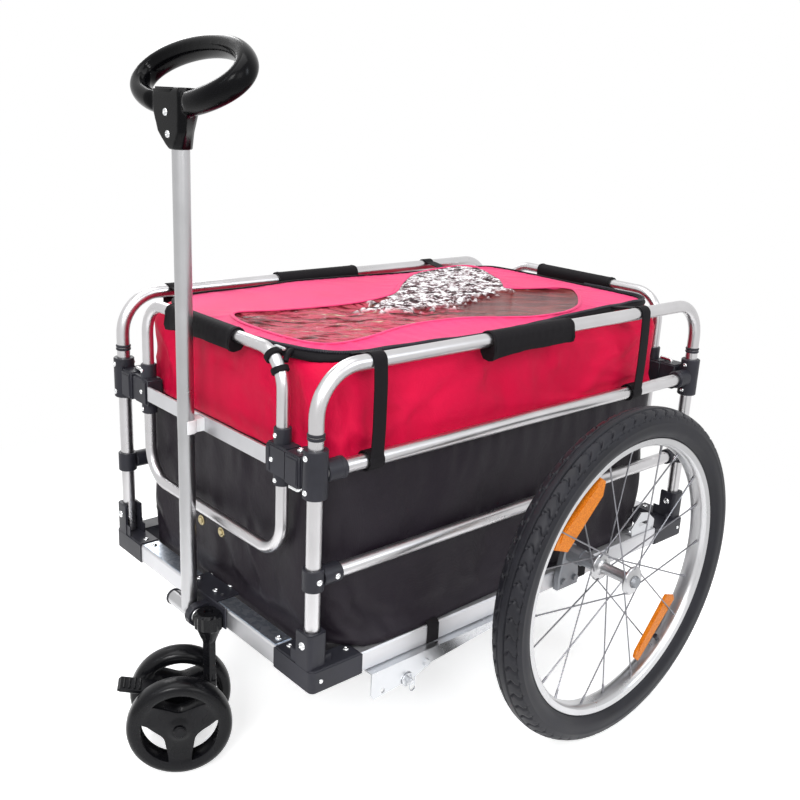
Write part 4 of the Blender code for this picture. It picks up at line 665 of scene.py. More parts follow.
def tube_frame():
    """Bent hoops, straight side bars and the two halves of each end ring."""
    bm = bmesh.new()
    tube(bm, arch((HOOP_X, -LEG_Y), (HOOP_X, LEG_Y), LEG_FOOT, HOOP_TOP, HOOP_BEND, 16), TUBE, 36)
    piece("side_hoop_{}", bm, "tube", node="hoop_{}", sides=LEFT_RIGHT)
    reach = LEG_Y - TUBE - 0.003
    for name, z in (("middle", MID_Z), ("lower", LOW_Z)):
        bm = bmesh.new()
        post(bm, (HOOP_X, 0, z), BACK, -reach, reach, TUBE, 36)
        piece(name + "_bar_{}", bm, "tube", node=name[:3] + "_bar_{}", sides=LEFT_RIGHT)
    halves = (("upper", RING_TOP, RING_SPLIT + FIT / 2), ("lower", RING_BOTTOM, RING_SPLIT - FIT / 2))
    for half, z, limit in halves:
        bm = bmesh.new()
        tube(bm, arch((-RING_X, -RING_Y), (RING_X, -RING_Y), limit, z, RING_BEND, 14), RING_TUBE, 32)
        piece("{}_ring_tube_" + half, bm, "tube", node="ring_{}_" + half, sides=FRONT_REAR)


def connectors():
    """Moulded tees, joiners, lock blocks, clamps and bands at the four corners."""
    inner = TUBE + FIT
    tee, joiner, cube, leg_clamp, band = (bmesh.new() for _ in range(5))
    sleeve(tee, LEG, UP, 0.4415, 0.5015, 0.0150, inner)
    sleeve(tee, LEG + UP * MID_Z, BACK, 0.0125, 0.0340, 0.0134, inner)
    sleeve(tee, LEG + UP * MID_Z, BACK, 0.0330, 0.0400, 0.0140, inner, 0.0015)
    box(tee, (HOOP_X - 0.0150, -LEG_Y - 0.0105, 0.452), (HOOP_X - 0.0112, -LEG_Y + 0.0105, 0.491), 0.0012)
    sleeve(joiner, RING_LEG, UP, JOINER_LOW, JOINER_HIGH, 0.0110, RING_TUBE + FIT)
    box(joiner, (0.150, -RING_Y - 0.0135, 0.448), (0.1938, -RING_Y + 0.0135, 0.488), 0.003, 3)
    box(joiner, (0.153, -RING_Y - 0.0143, 0.452), (0.1605, -RING_Y - 0.0120, 0.484), 0.0007)
    box(cube, (0.1941, -RING_Y - 0.0165, BLOCK_LOW), (0.2237, -RING_Y + 0.0165, BLOCK_HIGH), 0.0024, 3)
    box(cube, (0.1975, -RING_Y - 0.0172, 0.453), (0.2200, -RING_Y - 0.0155, 0.484), 0.0006)
    sleeve(leg_clamp, LEG, UP, LOW_Z - 0.014, LOW_Z + 0.014, 0.0134, inner, 0.0008)
    sleeve(leg_clamp, LEG + UP * LOW_Z, BACK, 0.0110, 0.038, 0.0124, inner, 0.0012)
    for z in (0.5125, 0.5170):
        sleeve(band, LEG, UP, z, z + 0.0040, 0.0108, inner)
    piece("tee_shell_{}", tee, "plastic", node="tee_{}", sides=CORNERS)
    piece("joiner_shell_{}", joiner, "plastic", node="joiner_{}", sides=CORNERS)
    piece("lock_cube_{}", cube, "plastic", node="lock_block_{}", sides=CORNERS)
    piece("leg_clamp_{}", leg_clamp, "plastic", sides=CORNERS)
    piece("leg_band_{}", band, "plastic", sides=CORNERS)


def hooked(bm, y, end, bend, turn, radius):
    """A wire pin from its end to a bend, with a hook towards the middle."""
    corners = [(PIN_X, y, end), (PIN_X, y, bend), (PIN_X - PIN_HOOK, y, bend)]
    tube(bm, filleted(corners, turn, 8), radius, 16)


def pins():
    """Bent wire pins: two stay in their blocks with the hook below, two lift out by a hook above."""
    bm = bmesh.new()
    hooked(bm, -RING_Y, BLOCK_HIGH - 0.004, BLOCK_LOW - 0.011, 0.006, PIN_RADIUS)
    screw(bm, (PIN_X, -RING_Y, BLOCK_HIGH), UP, 0.0048, 0.0025)
    piece("captive_pin_{}", bm, "screw", sides=CAPTIVE)
    bm = bmesh.new()
    hooked(bm, RING_Y, BLOCK_LOW - 0.004, BLOCK_HIGH + PIN_RADIUS + 0.0004, 0.0034, PIN_RADIUS - 0.0001)
    piece("hook_pin_{}", bm, "screw", "pin_{}", "lock_pin_{}", LIFTED)


def corner_castings():
    """Castings that hold two rail ends each, with an open socket and three ribs for the leg."""
    bm = bmesh.new()
    wall, half, inner = 0.0015, 0.0138, TUBE + FIT
    out_x, out_y = RAIL_OUT_X + wall, RAIL_OUT_Y + wall
    in_x, in_y = RAIL_OUT_X - RAIL_WIDTH - wall, RAIL_OUT_Y - RAIL_WIDTH - wall
    outline = [(out_x - CORNER_ARM, -out_y)] + arc((out_x - 0.009, -out_y + 0.009), 0.009, 270, 360, 8)
    outline += [(out_x, -out_y + CORNER_ARM), (in_x, -out_y + CORNER_ARM)]
    outline += [(in_x, -in_y), (out_x - CORNER_ARM, -in_y)]
    prism(bm, outline, "Z", CORNER_LOW, CORNER_TOP, 0.0022, 3)
    low_x, turn_x = HOOP_X - half, HOOP_X + half - 0.006
    socket = [(low_x, -LEG_Y - half)] + arc((turn_x, -LEG_Y - half + 0.006), 0.006, 270, 360, 5)
    socket += arc((turn_x, -LEG_Y + half - 0.006), 0.006, 0, 90, 5)
    socket += [(low_x, -LEG_Y + half), (low_x, -LEG_Y + inner), *arc((HOOP_X, -LEG_Y), inner, 90, -90, 16)]
    prism(bm, socket + [(low_x, -LEG_Y - inner)], "Z", CORNER_TOP - 0.004, SOCKET_TOP, 0.0008, 2)
    foot = CORNER_TOP - 0.002
    for y in (-LEG_Y - half + 0.001, -LEG_Y + half - 0.003):
        box(bm, (HOOP_X - 0.026, y, foot), (low_x + 0.001, y + 0.002, CORNER_TOP + 0.016), 0.0006)
    y = -LEG_Y + half - 0.001
    box(bm, (HOOP_X + 0.006, y, foot), (HOOP_X + 0.0085, y + 0.012, CORNER_TOP + 0.010), 0.0006)
    piece("casting_{}", bm, "plastic", node="corner_{}", sides=CORNERS)


def fasteners():
    """Bright screw heads of the corners and of the front rail, and the rail's zinc strips."""
    bm = bmesh.new()
    for base, offset, way, radius, height in (
        (LEG, (0, -0.0150, 0.4505), -BACK, 0.0038, 0.0018), (LEG, (0, 0.0150, 0.4505), BACK, 0.0034, 0.0018),
        (LEG, (0, -0.0150, 0.4925), -BACK, 0.0038, 0.0018), (LEG, (0, 0.0150, 0.4925), BACK, 0.0034, 0.0018),
        (LEG, (0.0134, 0, LOW_Z), SIDE, 0.0042, 0.0020), (LEG, (0.0124, 0.028, LOW_Z), SIDE, 0.0040, 0.0018),
        (RING_LEG, (0, -0.0110, 0.441), -BACK, 0.0034, 0.0018),
        (RING_LEG, (-0.003, -0.0143, 0.468), -BACK, 0.0034, 0.0018),
        (RING_LEG, (0, -0.0110, 0.4985), -BACK, 0.0034, 0.0018),
        (LEG, (-0.048, 0.002, CORNER_TOP), UP, 0.0042, 0.0018),
        (LEG, (0, 0.054, CORNER_TOP), UP, 0.0042, 0.0018),
        (LEG, (0, -0.0138, PIVOT_Z), -BACK, 0.0055, 0.0034),
        (LEG, (0, 0.0138, PIVOT_Z), BACK, 0.0055, 0.0034),
        (LEG, (RAIL_OUT_X + 0.0015 - HOOP_X, 0.001, 0.206), SIDE, 0.0030, 0.0012),
    ):
        screw(bm, base + Vector(offset), way, radius, height)
    piece("bright_screws_{}", bm, "screw", sides=CORNERS)
    bm = bmesh.new()
    for x in (0.030, 0.166, -0.062, -0.166):
        screw(bm, (x, -0.381, RAIL_TOP + 0.0012), UP, 0.0046, 0.0022)
    for x in (-0.029, 0.016):
        for y in (-0.383, -0.3585):
            screw(bm, (x, y, RAIL_TOP + 0.0046), UP, 0.0044, 0.0016)
    piece("rail_screws", bm, "screw")
    bm = bmesh.new()
    for low, high in ((0.0405, 0.1765), (-0.1765, -0.0405)):
        box(bm, (low, -0.3935, RAIL_TOP + 0.0001), (high, -0.3680, RAIL_TOP + 0.0012), 0.0004)
    piece("zinc_strips", bm, "galvanised")


# Pull handle

def handle_ring(bm):
    """An oval ring, squarish in section with a groove inside, tucked back where the neck takes it."""
    slope = Vector((0, *polar(1.0, HANDLE_TILT)))
    normal = Vector((0, -slope.z, slope.y))
    rows = []
    for t in circle(120):
        c, s = polar(1.0, t)
        middle = HANDLE + SIDE * (HANDLE_WIDE * c) + slope * (HANDLE_DEEP * s)
        middle.y += 0.0095 * max(0.0, -s) ** 6
        outward = (SIDE * (HANDLE_DEEP * c) + slope * (HANDLE_WIDE * s)).normalized()
        row = []
        for a in circle(56):
            u = math.copysign(abs(math.cos(a)) ** 0.90, math.cos(a)) * 0.0118
            v = math.copysign(abs(math.sin(a)) ** 0.94, math.sin(a)) * 0.0150
            groove = 1 - 0.10 * math.exp(-((a - 2.45) / 0.16) ** 2)
            point = middle + outward * (u * groove) + normal * (v * groove)
            point.y += clamp((0.043 - abs(point.x)) / 0.008) * max(0.0, -0.4325 - point.y)
            row.append(point)
        rows.append(row)
    skin(bm, rows, closed=True)


def handle_neck(bm):
    """The flared neck from the pole to the ring, lofted through levels from its foot up."""
    levels = (
        (0.0, 0.0125, 0.0118, 0.0128, 0.0075), (0.08, 0.0185, 0.0135, 0.0150, 0.0078),
        (0.28, 0.0310, 0.0160, 0.0172, 0.0070), (0.62, 0.0372, 0.0275, 0.0197, 0.0070),
        (0.86, 0.0372, 0.0310, 0.0200, 0.0070), (0.95, 0.0355, 0.0300, 0.0188, 0.0070),
        (1.0, 0.0325, 0.0270, 0.0160, 0.0065),
    )
    places, *columns = zip(*levels)
    rows = []
    for share in np.linspace(0, 1, 36):
        front, back, ahead, corner = (float(np.interp(share, places, column)) for column in columns)
        near, far = -POLE_Y - ahead, -POLE_Y + 0.0138
        side = [(front - corner, near), (front, near + corner), (back, far - corner), (back - corner, far)]
        row = []
        for (x0, y0), (x1, y1) in edges_of(side + [(-x, y) for x, y in reversed(side)]):
            z = NECK_LOW + NECK_TALL * share
            row += [Vector((x0 + (x1 - x0) * k / 5, y0 + (y1 - y0) * k / 5, z)) for k in range(5)]
        rows.append(row)
    skin(bm, rows)


def handle():
    """Pole with its cross tube and cap, and the grip with its thumb pad and screws."""
    bm = bmesh.new()
    foot = (0, -POLE_Y, POLE_FOOT)
    post(bm, foot, UP, 0.0, POLE_TOP - POLE_FOOT, POLE)
    post(bm, foot, SIDE, -0.0415, 0.0255, POLE)
    piece("pull_pole", bm, "pole", "pull_handle", "handle_pole")
    bm = bmesh.new()
    sleeve(bm, foot, SIDE, -0.0445, -0.0400, 0.0120, 0.0070)
    post(bm, foot, SIDE, -0.0430, -0.0418, 0.0072, 32, 0.0002)
    piece("cross_tube_cap", bm, "plastic", "pull_handle")
    bm = bmesh.new()
    handle_ring(bm)
    handle_neck(bm)
    grip = piece("handle_grip", bm, "gloss", "pull_handle", "handle_ring")
    modify(grip, "REMESH", mode="VOXEL", voxel_size=0.0013)
    modify(grip, "SMOOTH", factor=0.5, iterations=7)
    bake(grip)
    grip.data.shade_smooth()
    bm = bmesh.new()
    prism(bm, rounded((-0.0335, -0.4345), (0.0165, -0.4040), 0.0060), "Z", 0.8800, 0.8882, 0.0022, 4)
    prism(bm, rounded((0.0190, -0.4330), (0.0330, -0.4050), 0.0050), "Z", 0.8800, 0.8870, 0.0026, 4)
    piece("handle_pad", bm, "gloss", "pull_handle")
    bm = bmesh.new()
    for z, y in ((0.835, -0.4323), (0.860, -0.4348)):
        screw(bm, (0, y, z), (0, -1, 0.05), 0.0046, 0.0022)
    piece("handle_screws", bm, "screw", "pull_handle")


# Caster

def cut_away(bm, cutters):
    """A mesh less the cutters, its sharp edges eased."""
    body, cutter = linked("body", as_mesh(bm, "body")), linked("cutter", as_mesh(cutters, "cutter"))
    modify(body, "BOOLEAN", operation="DIFFERENCE", solver="EXACT", object=cutter)
    modify(body, "BEVEL", width=0.0008, segments=2, limit_method="ANGLE", angle_limit=math.radians(50))
    bake(body)
    mesh = body.data
    for helper in (body, cutter):
        bpy.data.objects.remove(helper)
    return mesh


def caster():
    """Two wheels with three windows each, and the caps on their axle."""
    half = [
        (0.0054, -0.0150), (0.0110, -0.0150), (0.0150, -0.0128), (0.0200, -0.0112),
        (0.0440, -0.0108), (0.0500, -0.0128), (0.0545, -0.0150), (0.0600, -0.0158),
        (0.0655, -0.0138), (0.0685, -0.0100), (0.0698, -0.0050),
    ]
    disc, cutters, cap = bmesh.new(), bmesh.new(), bmesh.new()
    turned(disc, half + [(ROLLER_R, 0.0)] + [(r, -x) for r, x in reversed(half)], (0, 0, 0), SIDE, 96)
    for middle in (90, 210, 330):
        outline = arc((0, 0), SPOKE_OUT, middle - 43, middle + 43, 18)
        for k in range(1, 18):
            r = SPOKE_OUT - (SPOKE_OUT - SPOKE_IN) * math.sin(math.pi * k / 18) ** 0.62
            outline.append(polar(r, math.radians(middle + 43 - 86 * k / 18)))
        prism(cutters, outline, "X", -0.03, 0.03)
    mesh = cut_away(disc, cutters)
    mesh.transform(Matrix.Translation(ROLLER))
    post(cap, (0, ROLLER.y, ROLLER.z), SIDE, 0.0545, 0.0604, 0.0085, 40, 0.0022)
    piece("axle_cap_{}", cap, "wheel", "caster_roller_{}", sides=LEFT_RIGHT, space=SWIVEL)
    other = mesh.copy()
    other.transform(Matrix.Translation(SIDE * (-2 * ROLLER.x)))
    for side, wheel in (("left", mesh), ("right", other)):
        piece("roller_" + side, wheel, "wheel", "caster_roller_" + side, "caster_wheel_" + side,
              space=SWIVEL, angle=32)


# Road wheels

def tread_depth(turn, side):
    """How deep the tread is cut, from 0 to 1, at a share of one pattern length and from -1 to 1 across."""
    reach = abs(side)
    lines = 0.75 * max(0.0, 1 - abs(reach - 0.19) / 0.050)
    share = (reach - 0.26) / 0.70
    sipe = 0.0
    if 0.0 < share < 1.0:
        bend = 0.26 * math.sin(2 * math.pi * share) + 0.30 * share
        place = (turn + (bend if side > 0 else 0.5 - bend)) % 1.0
        sipe = max(0.0, 1 - abs(place - 0.5) / 0.12) * min(1.0, share / 0.07, (1 - share) / 0.07)
    zigzag = 4 * abs(turn * 2 - math.floor(turn * 2 + 0.5)) - 1
    outer = 0.4 * max(0.0, 1 - abs(reach - 0.86 - 0.03 * zigzag) / 0.05)
    return min(1.0, 2.0 * max(lines, sipe, outer))


def tyre():
    """A tyre with ribs on its walls and a tread of curved cuts between two lines and a zigzag edge."""
    wall = [
        (0.2023, 0.0118), (0.2080, 0.0124), (0.2100, 0.0152), (0.2125, 0.0187),
        (0.2140, 0.0190), (0.2165, 0.0216), (0.2220, 0.0232), (0.2270, 0.0235),
        (0.2310, 0.0233), (0.2322, 0.0236), (0.2338, 0.0236), (0.2350, 0.0228),
    ]
    patterns, steps = 64, 16
    profile = [(r, -x, 1.0) for r, x in wall]
    for side in np.linspace(-1, 1, 31):
        drop = 0.0190 * (1 - math.cos(side * TREAD_TURN)) * 0.92
        across = TYRE_HALF * math.sin(side * TREAD_TURN) / math.sin(TREAD_TURN) * 0.955
        profile.append((TYRE_R - drop, across, side))
    profile += [(r, x, 1.0) for r, x in reversed(wall)]
    rows = []
    for i, t in enumerate(circle(patterns * steps)):
        row = []
        for r, x, side in profile:
            cut = TREAD_CUT * tread_depth(i / steps, side) if abs(side) < 0.999 else 0.0
            row.append(WHEEL + Vector((x, *polar(r - cut, t))))
        rows.append(row)
    bm = bmesh.new()
    skin(bm, rows, closed=True)
    piece("tread_tyre_{}", bm, "rubber", "road_wheel_{}", "tyre_{}", LEFT_RIGHT, angle=50)


def rim():
    half = [
        (0.1955, 0.0052), (0.1962, 0.0085), (0.1985, 0.0125), (0.2000, 0.0140),
        (0.2078, 0.0154), (0.2086, 0.0150), (0.2086, 0.0136), (0.2022, 0.0130),
    ]
    bm = bmesh.new()
    turned(bm, mirrored_back(half), WHEEL, SIDE, 160)
    piece("wheel_rim_{}", bm, "rim", "road_wheel_{}", "rim_{}", LEFT_RIGHT, angle=30)


def hub():
    """Turned barrel with two flanges, then round spokes laced between them and their nipples at the rim."""
    half = [
        (0.0066, -0.004), (0.0112, -0.004), (0.0130, -0.0032), (FLANGE - 0.001, -0.0022), (FLANGE, -0.0012),
        (FLANGE, 0.0012), (FLANGE - 0.001, 0.0022), (0.0120, 0.0032), (0.0092, 0.006), (0.0086, 0.010),
    ]
    reach = (HUB_OUT - HUB_IN) / 2
    barrel, spokes, nipples = bmesh.new(), bmesh.new(), bmesh.new()
    turned(barrel, mirrored_back([(r, x - reach) for r, x in half]), HUB + SIDE * (HUB_IN + reach), SIDE, 64)
    piece("hub_barrel_{}", barrel, "pole", "road_wheel_{}", "hub_{}", LEFT_RIGHT, angle=30)
    for i in range(SPOKES):
        lead = 1 if (i // 2) % 2 else -1
        turn = 2 * math.pi * i / SPOKES
        flange, seat = (HUB_IN, -0.003) if i % 2 else (HUB_OUT, 0.003)
        start = HUB + Vector((flange + lead * 0.0022, *polar(FLANGE - 0.004, turn + lead * SPOKE_LEAN)))
        end = HUB + Vector((WHEEL.x + seat, *polar(SPOKE_END, turn)))
        way = (end - start).normalized()
        elbow = start - SIDE * (lead * 0.0036)
        bent = [elbow, start - SIDE * (lead * 0.0006), start + way * 0.0022, end - way * 0.004]
        tube(spokes, bent, 0.0011, 8)
        ends = [end + way * along for along in (-0.013, -0.012, -0.002, 0.001)]
        tube(nipples, ends, None, 10, [0.0012, 0.0017, 0.0018, 0.0022])
        screw(nipples, elbow, SIDE * -lead, 0.0020, 0.0012)
    piece("spokes_{}", spokes, "spoke", "road_wheel_{}", sides=LEFT_RIGHT)
    piece("nipples_{}", nipples, "spoke", "road_wheel_{}", sides=LEFT_RIGHT)


def reflectors():
    """Flat amber plates with cut ends and raised panels, clipped to the spokes."""
    bm = bmesh.new()
    for thick, outline in (
        (0.0040, ((0.0009, 0.4183), (0.0133, 0.4105), (0.0104, 0.3900),
                  (-0.0545, 0.3247), (-0.0843, 0.3362), (-0.0797, 0.3499))),
        (0.0022, ((0.2085, 0.1765), (0.2300, 0.1690), (0.2332, 0.1610),
                  (0.1544, 0.0802), (0.1420, 0.0900), (0.1440, 0.1000))),
    ):
        outline = [Vector(point) for point in outline]
        middle = sum(outline, Vector((0, 0))) / len(outline)
        face = WHEEL.x + thick
        prism(bm, outline, "X", WHEEL.x - thick, face, 0.0012)
        prism(bm, [middle.lerp(point, 0.80) for point in outline], "X", face - 0.001, face + 0.0010, 0.0006)
    piece("reflectors_{}", bm, "amber", "road_wheel_{}", sides=LEFT_RIGHT, angle=30)


def valve():
    bm = bmesh.new()
    way = Vector((0, *polar(1.0, math.radians(-50))))
    post(bm, WHEEL, way, 0.1860, 0.1970, 0.0030, 20, 0.0006)
    post(bm, WHEEL, way, 0.1835, 0.1885, 0.0040, 20, 0.0010)
    piece("valve_{}", bm, "plastic", "road_wheel_{}", sides=LEFT_RIGHT)


# Cloth

def wobble(point, seed, scale, size):
    return size * noise.noise(Vector(point) * scale + Vector((seed, seed * 0.7, -seed)))


def crease(point, seed, scale):
    """Straight overlapping creases, as crumpled film or stiff cloth has."""
    golden_turn = 2.399963
    point = Vector(point)
    total = 0.0
    for i in range(5):
        t = golden_turn * (i + seed)
        way = Vector((math.cos(t), math.sin(t), 0.45 * math.sin(3.1 * t)))
        value = point.dot(way) * scale * (0.6 + 0.35 * i) + 0.37 * i * seed
        value += 0.35 * noise.noise(point * scale * 0.8 + Vector((seed, i, 0)))
        total += (abs(value - math.floor(value) - 0.5) * 2 - 0.5) / (1 + 0.6 * i)
    return total


def sheet(name, rows, material):
    """A sheet of quads through closed rows of points, open at its first and last."""
    bm = bmesh.new()
    skin(bm, rows, caps=False)
    mesh = as_mesh(bm, name, outward=False)
    mesh.materials.append(M[material])
    return linked(name, mesh)


def points_of(mesh):
    points = np.zeros(len(mesh.vertices) * 3)
    mesh.vertices.foreach_get("co", points)
    return points.reshape(-1, 3)


def put_points(obj, points):
    obj.data.vertices.foreach_set("co", np.asarray(points, float).ravel())
    obj.data.update()


def simulate(obj, points, held, growth, gravity, bending):
    """Where a sheet that was cut a little too large comes to lie between its first and last rows, held."""
    put_points(obj, points)
    fixed = list(range(AROUND)) + list(range(len(points) - held * AROUND, len(points)))
    obj.vertex_groups.new(name="fixed").add(fixed, 1.0, "REPLACE")
    modifier = modify(obj, "CLOTH")
    for key, value in {
        "vertex_group_mass": "fixed", "quality": 6, "mass": 0.12, "tension_stiffness": 20.0,
        "compression_stiffness": 20.0, "shear_stiffness": 12.0, "bending_stiffness": bending,
        "tension_damping": 8.0, "compression_damping": 8.0, "shear_damping": 8.0, "air_damping": 2.0,
        "shrink_min": -growth,
    }.items():
        setattr(modifier.settings, key, value)
    modifier.settings.effector_weights.gravity = gravity
    modifier.collision_settings.use_collision = False
    modifier.collision_settings.use_self_collision = False
    modifier.point_cache.frame_start, modifier.point_cache.frame_end = 1, 30
    for step in range(1, 31):
        bpy.context.scene.frame_set(step)
    points = points_of(obj.evaluated_get(bpy.context.evaluated_depsgraph_get()).data)
    obj.modifiers.clear()
    obj.vertex_groups.clear()
    bpy.context.scene.frame_set(1)
    return points


def thicken(obj, thickness, rounds=0):
    if rounds:
        modify(obj, "SUBSURF", levels=rounds, render_levels=rounds)
    modify(obj, "SOLIDIFY", thickness=thickness, offset=0.0)
    bake(obj)
    obj.data.shade_smooth()


def put_on(obj, material, body="trailer", node=None):
    obj.data.transform(SHIFT)
    settle(obj, material, body, node)


def fold_height(u, z, folds):
    """Height of the crossing fold lines at a place along a side and up."""
    total = 0.0
    for u0, z0, u1, z1, width, height in folds:
        length = math.hypot(u1 - u0, z1 - z0)
        along = ((u - u0) * (u1 - u0) + (z - z0) * (z1 - z0)) / length ** 2
        if not -0.15 < along < 1.15:
            continue
        across = ((u - u0) * (z1 - z0) - (z - z0) * (u1 - u0)) / length
        across += 0.004 * math.sin(9 * along + u0 * 40)
        taper = max(0.0, math.sin(math.pi * (along + 0.15) / 1.3)) ** 0.7
        total += height * taper * math.exp(-(math.sqrt(across * across + 0.000004) - 0.002) / width)
    return total


def folded(points, side_folds, end_folds):
    """How far the fold lines push each point outward, on the sides and on the ends."""
    result = []
    for x, y, z in points:
        side = clamp((abs(x) - 0.185) / 0.030)
        value = side * fold_height(y if x > 0 else y * 0.93 + 0.021, z, side_folds)
        value += (1 - side) * fold_height(x if y < 0 else -x, z, end_folds)
        value += wobble((x, y, z), 5, 11, 0.0040)
        low = clamp((0.34 - z) / 0.07)
        wide, fine = crease((x, y, z * 0.8), 7, 13.0), crease((x, y, z), 3, 30.0)
        value += (0.0014 + 0.0030 * low) * wide + 0.0006 * fine
        result.append(value)
    return np.array(result)


def loosen(obj, rows, ways, seed, held, folds):
    """Folds in a hanging band: a cloth run for its slack, with the fold lines that its cut gives it."""
    start = points_of(obj.data)
    ways = np.tile(ways, (rows, 1))
    hold = np.sin(np.pi * np.clip(np.repeat(np.arange(rows), AROUND) / (rows - held), 0, 1)) ** 0.7
    uneven = np.array([noise.noise(Vector(p) * 7 + Vector((seed, 0, 0))) for p in start])
    points = start + ways * (uneven * hold * 0.004)[:, None]
    points = simulate(obj, points, held, 0.006, 0.6, 6.0)
    along = ((points - start) * ways).sum(axis=1)
    total = limited(along, 0.0050) + 1.7 * folded(start, *folds) * hold
    total = np.where(total > 0, limited(total, 0.0052), limited(total, 0.0100))
    put_points(obj, points + ways * (total - along)[:, None])


# Bag

def cover_edge():
    """The cover's edge, which the side panels draw in unevenly, turning from the front left corner."""
    near = [(x, y, COVER_Z) for x, y in NEAR_EDGE]
    far = [(-x * 0.985 - 0.002, y, COVER_Z) for x, y in reversed(NEAR_EDGE)]
    return smooth_loop(near + [(0.0, 0.333, COVER_Z)] + far + [(0.0, -0.3615, COVER_Z)], AROUND)


def spaced(outline):
    """An outline's points with the straight sides filled in."""
    result = []
    for (x0, y0), (x1, y1) in edges_of(outline):
        steps = max(1, int(math.hypot(x1 - x0, y1 - y0) / 0.03))
        result += [(x0 + (x1 - x0) * k / steps, y0 + (y1 - y0) * k / steps) for k in range(steps)]
    return result


def matched(guide, loop):
    """The loop's places at the angles of the guide's points about the middle."""
    def angle(point):
        return math.atan2(point.y / 0.346, point.x / BAG_X)

    angles, xs, ys = zip(*sorted((angle(point), point.x, point.y) for point in loop))
    result = []
    for t in map(angle, guide):
        x, y = (np.interp(t, angles, places, period=2 * math.pi) for places in (xs, ys))
        result.append(Vector((x, y, 0)))
    return result


def outward(wall):
    """An outline's outward direction at each of its points."""
    ways = []
    for i in range(AROUND):
        tangent = (wall[(i + 1) % AROUND] - wall[i - 1]).normalized()
        ways.append((-tangent.y, tangent.x, 0.0))
    ways = np.array(ways)
    return -ways if (ways * np.array(wall)).sum() < 0 else ways


def upper_rows(top, wall):
    """The red band, bent over from the cover's edge and hanging to the middle seam."""
    bend = ((0.0, 0.0010), (0.16, 0.0020), (0.42, 0.0040), (0.70, 0.0085), (0.90, 0.0150), (1.0, 0.0250))
    rows = [[(*a.lerp(b, share).xy, COVER_Z - drop) for a, b in zip(top, wall)] for share, drop in bend]
    return rows + [[(b.x, b.y, z) for b in wall] for z in np.linspace(COVER_Z - 0.034, SEAM_Z, 18)]


def lower_rows(wall, ways):
    """The black band, which spreads over the side rails at its foot and turns under to the floor."""
    reach = [abs(way[0]) * float(np.interp(p.y, HEM_PLACES, HEM_REACHES)) for p, way in zip(wall, ways)]
    lift = [0.0027 * clamp((-0.308 - p.y) / 0.006) * (abs(way[0]) > 0.3) for p, way in zip(wall, ways)]
    places = list(zip(wall, ways, reach, lift))
    rows = []
    for z in np.linspace(SEAM_Z, HEM_Z, 40):
        share = max(0.0, 1 - (z - HEM_Z) / 0.085)
        wide = share ** 1.7
        rows.append([(b.x + way[0] * r * wide, b.y, z + up * share) for b, way, r, up in places])
    for inner, drop in ((0.75, 0.0006), (0.40, 0.0007), (0.10, 0.0008)):
        under = []
        for b, way, r, up in places:
            spare = 1 - min(1.0, r / 0.008)
            under.append((b.x + way[0] * r * inner, b.y, HEM_Z + up - drop - spare * 0.004 * (1 - inner)))
        rows.append(under)
    for inset, z in ((0.0, 0.2130), (0.001, 0.2075), (0.004, BAG_LOW + 0.0050)):
        rows.append([(b.x - way[0] * inset, b.y - way[1] * inset, z) for b, way in zip(wall, ways)])
    return rows


def floor_rows(wall, ways):
    """The bag's floor, a little uneven, drawn in from its edge to the middle."""
    rows = []
    for share in np.linspace(1.0, 0.02, 24):
        row = []
        for b, way in zip(wall, ways):
            x, y = (part * share for part in Vector((b.x - way[0] * 0.005, b.y - way[1] * 0.005)))
            row.append((x, y, BAG_LOW + 0.0052 + wobble((x, y, 0), 4, 14, 0.0022) * min(1, (1 - share) * 8)))
        rows.append(row)
    return rows


def bag():
    """Red and black panels that hang from the cover's edge, slack between the tubes, and the floor."""
    top = cover_edge()
    wall = spaced(rounded((-BAG_X, BAG_FRONT), (BAG_X, BAG_REAR), BAG_CORNER, 10))
    wall = matched(top, smooth_loop([(x, y, 0) for x, y in wall], AROUND))
    ways = outward(wall)
    upper = sheet("bag_upper_band", upper_rows(top, wall), "red")
    loosen(upper, 24, ways, 3.0, 1, (SIDE_FOLDS, END_FOLDS))
    seam = points_of(upper.data)[-AROUND:]
    lower = sheet("bag_lower_band", lower_rows(wall, ways), "black")
    loosen(lower, 46, ways, 7.0, 7, (LOW_SIDE_FOLDS, LOW_END_FOLDS))
    floor = sheet("bag_floor", floor_rows(wall, ways), "black")
    for obj in (upper, lower, floor):
        thicken(obj, 0.0016)
    bm = bmesh.new()
    flat_tube(bm, seam, 0.0016, 1.0)
    piece("bag_middle_seam", bm, "web", slot="red_fabric")
    put_on(upper, "red", node="bag")
    put_on(lower, "black")
    put_on(floor, "black")


# Cover

def depth_in(x, y, outline):
    """Distance from a closed outline, above zero inside it."""
    inside = False
    nearest = 1.0
    for (x0, y0), (x1, y1) in edges_of(outline):
        if (y0 > y) != (y1 > y) and x < x0 + (y - y0) * (x1 - x0) / (y1 - y0):
            inside = not inside
        length = math.hypot(x1 - x0, y1 - y0)
        along = clamp(((x - x0) * (x1 - x0) + (y - y0) * (y1 - y0)) / length ** 2)
        nearest = min(nearest, math.hypot(x - x0 - along * (x1 - x0), y - y0 - along * (y1 - y0)))
    return nearest if inside else -nearest


def film_zone(x, y):
    """Shares of the crushed and of the streaked front part at a place on the film, for its crumples and its
    painted light.
    """
    ragged = 0.030 * noise.noise(Vector((x, y, 0)) * 45) + 0.022 * noise.noise(Vector((x, y, 3)) * 130)
    return clamp((depth_in(x, y, CRUSHED) + ragged) / 0.010), clamp((ragged * 2 - y) / 0.06)


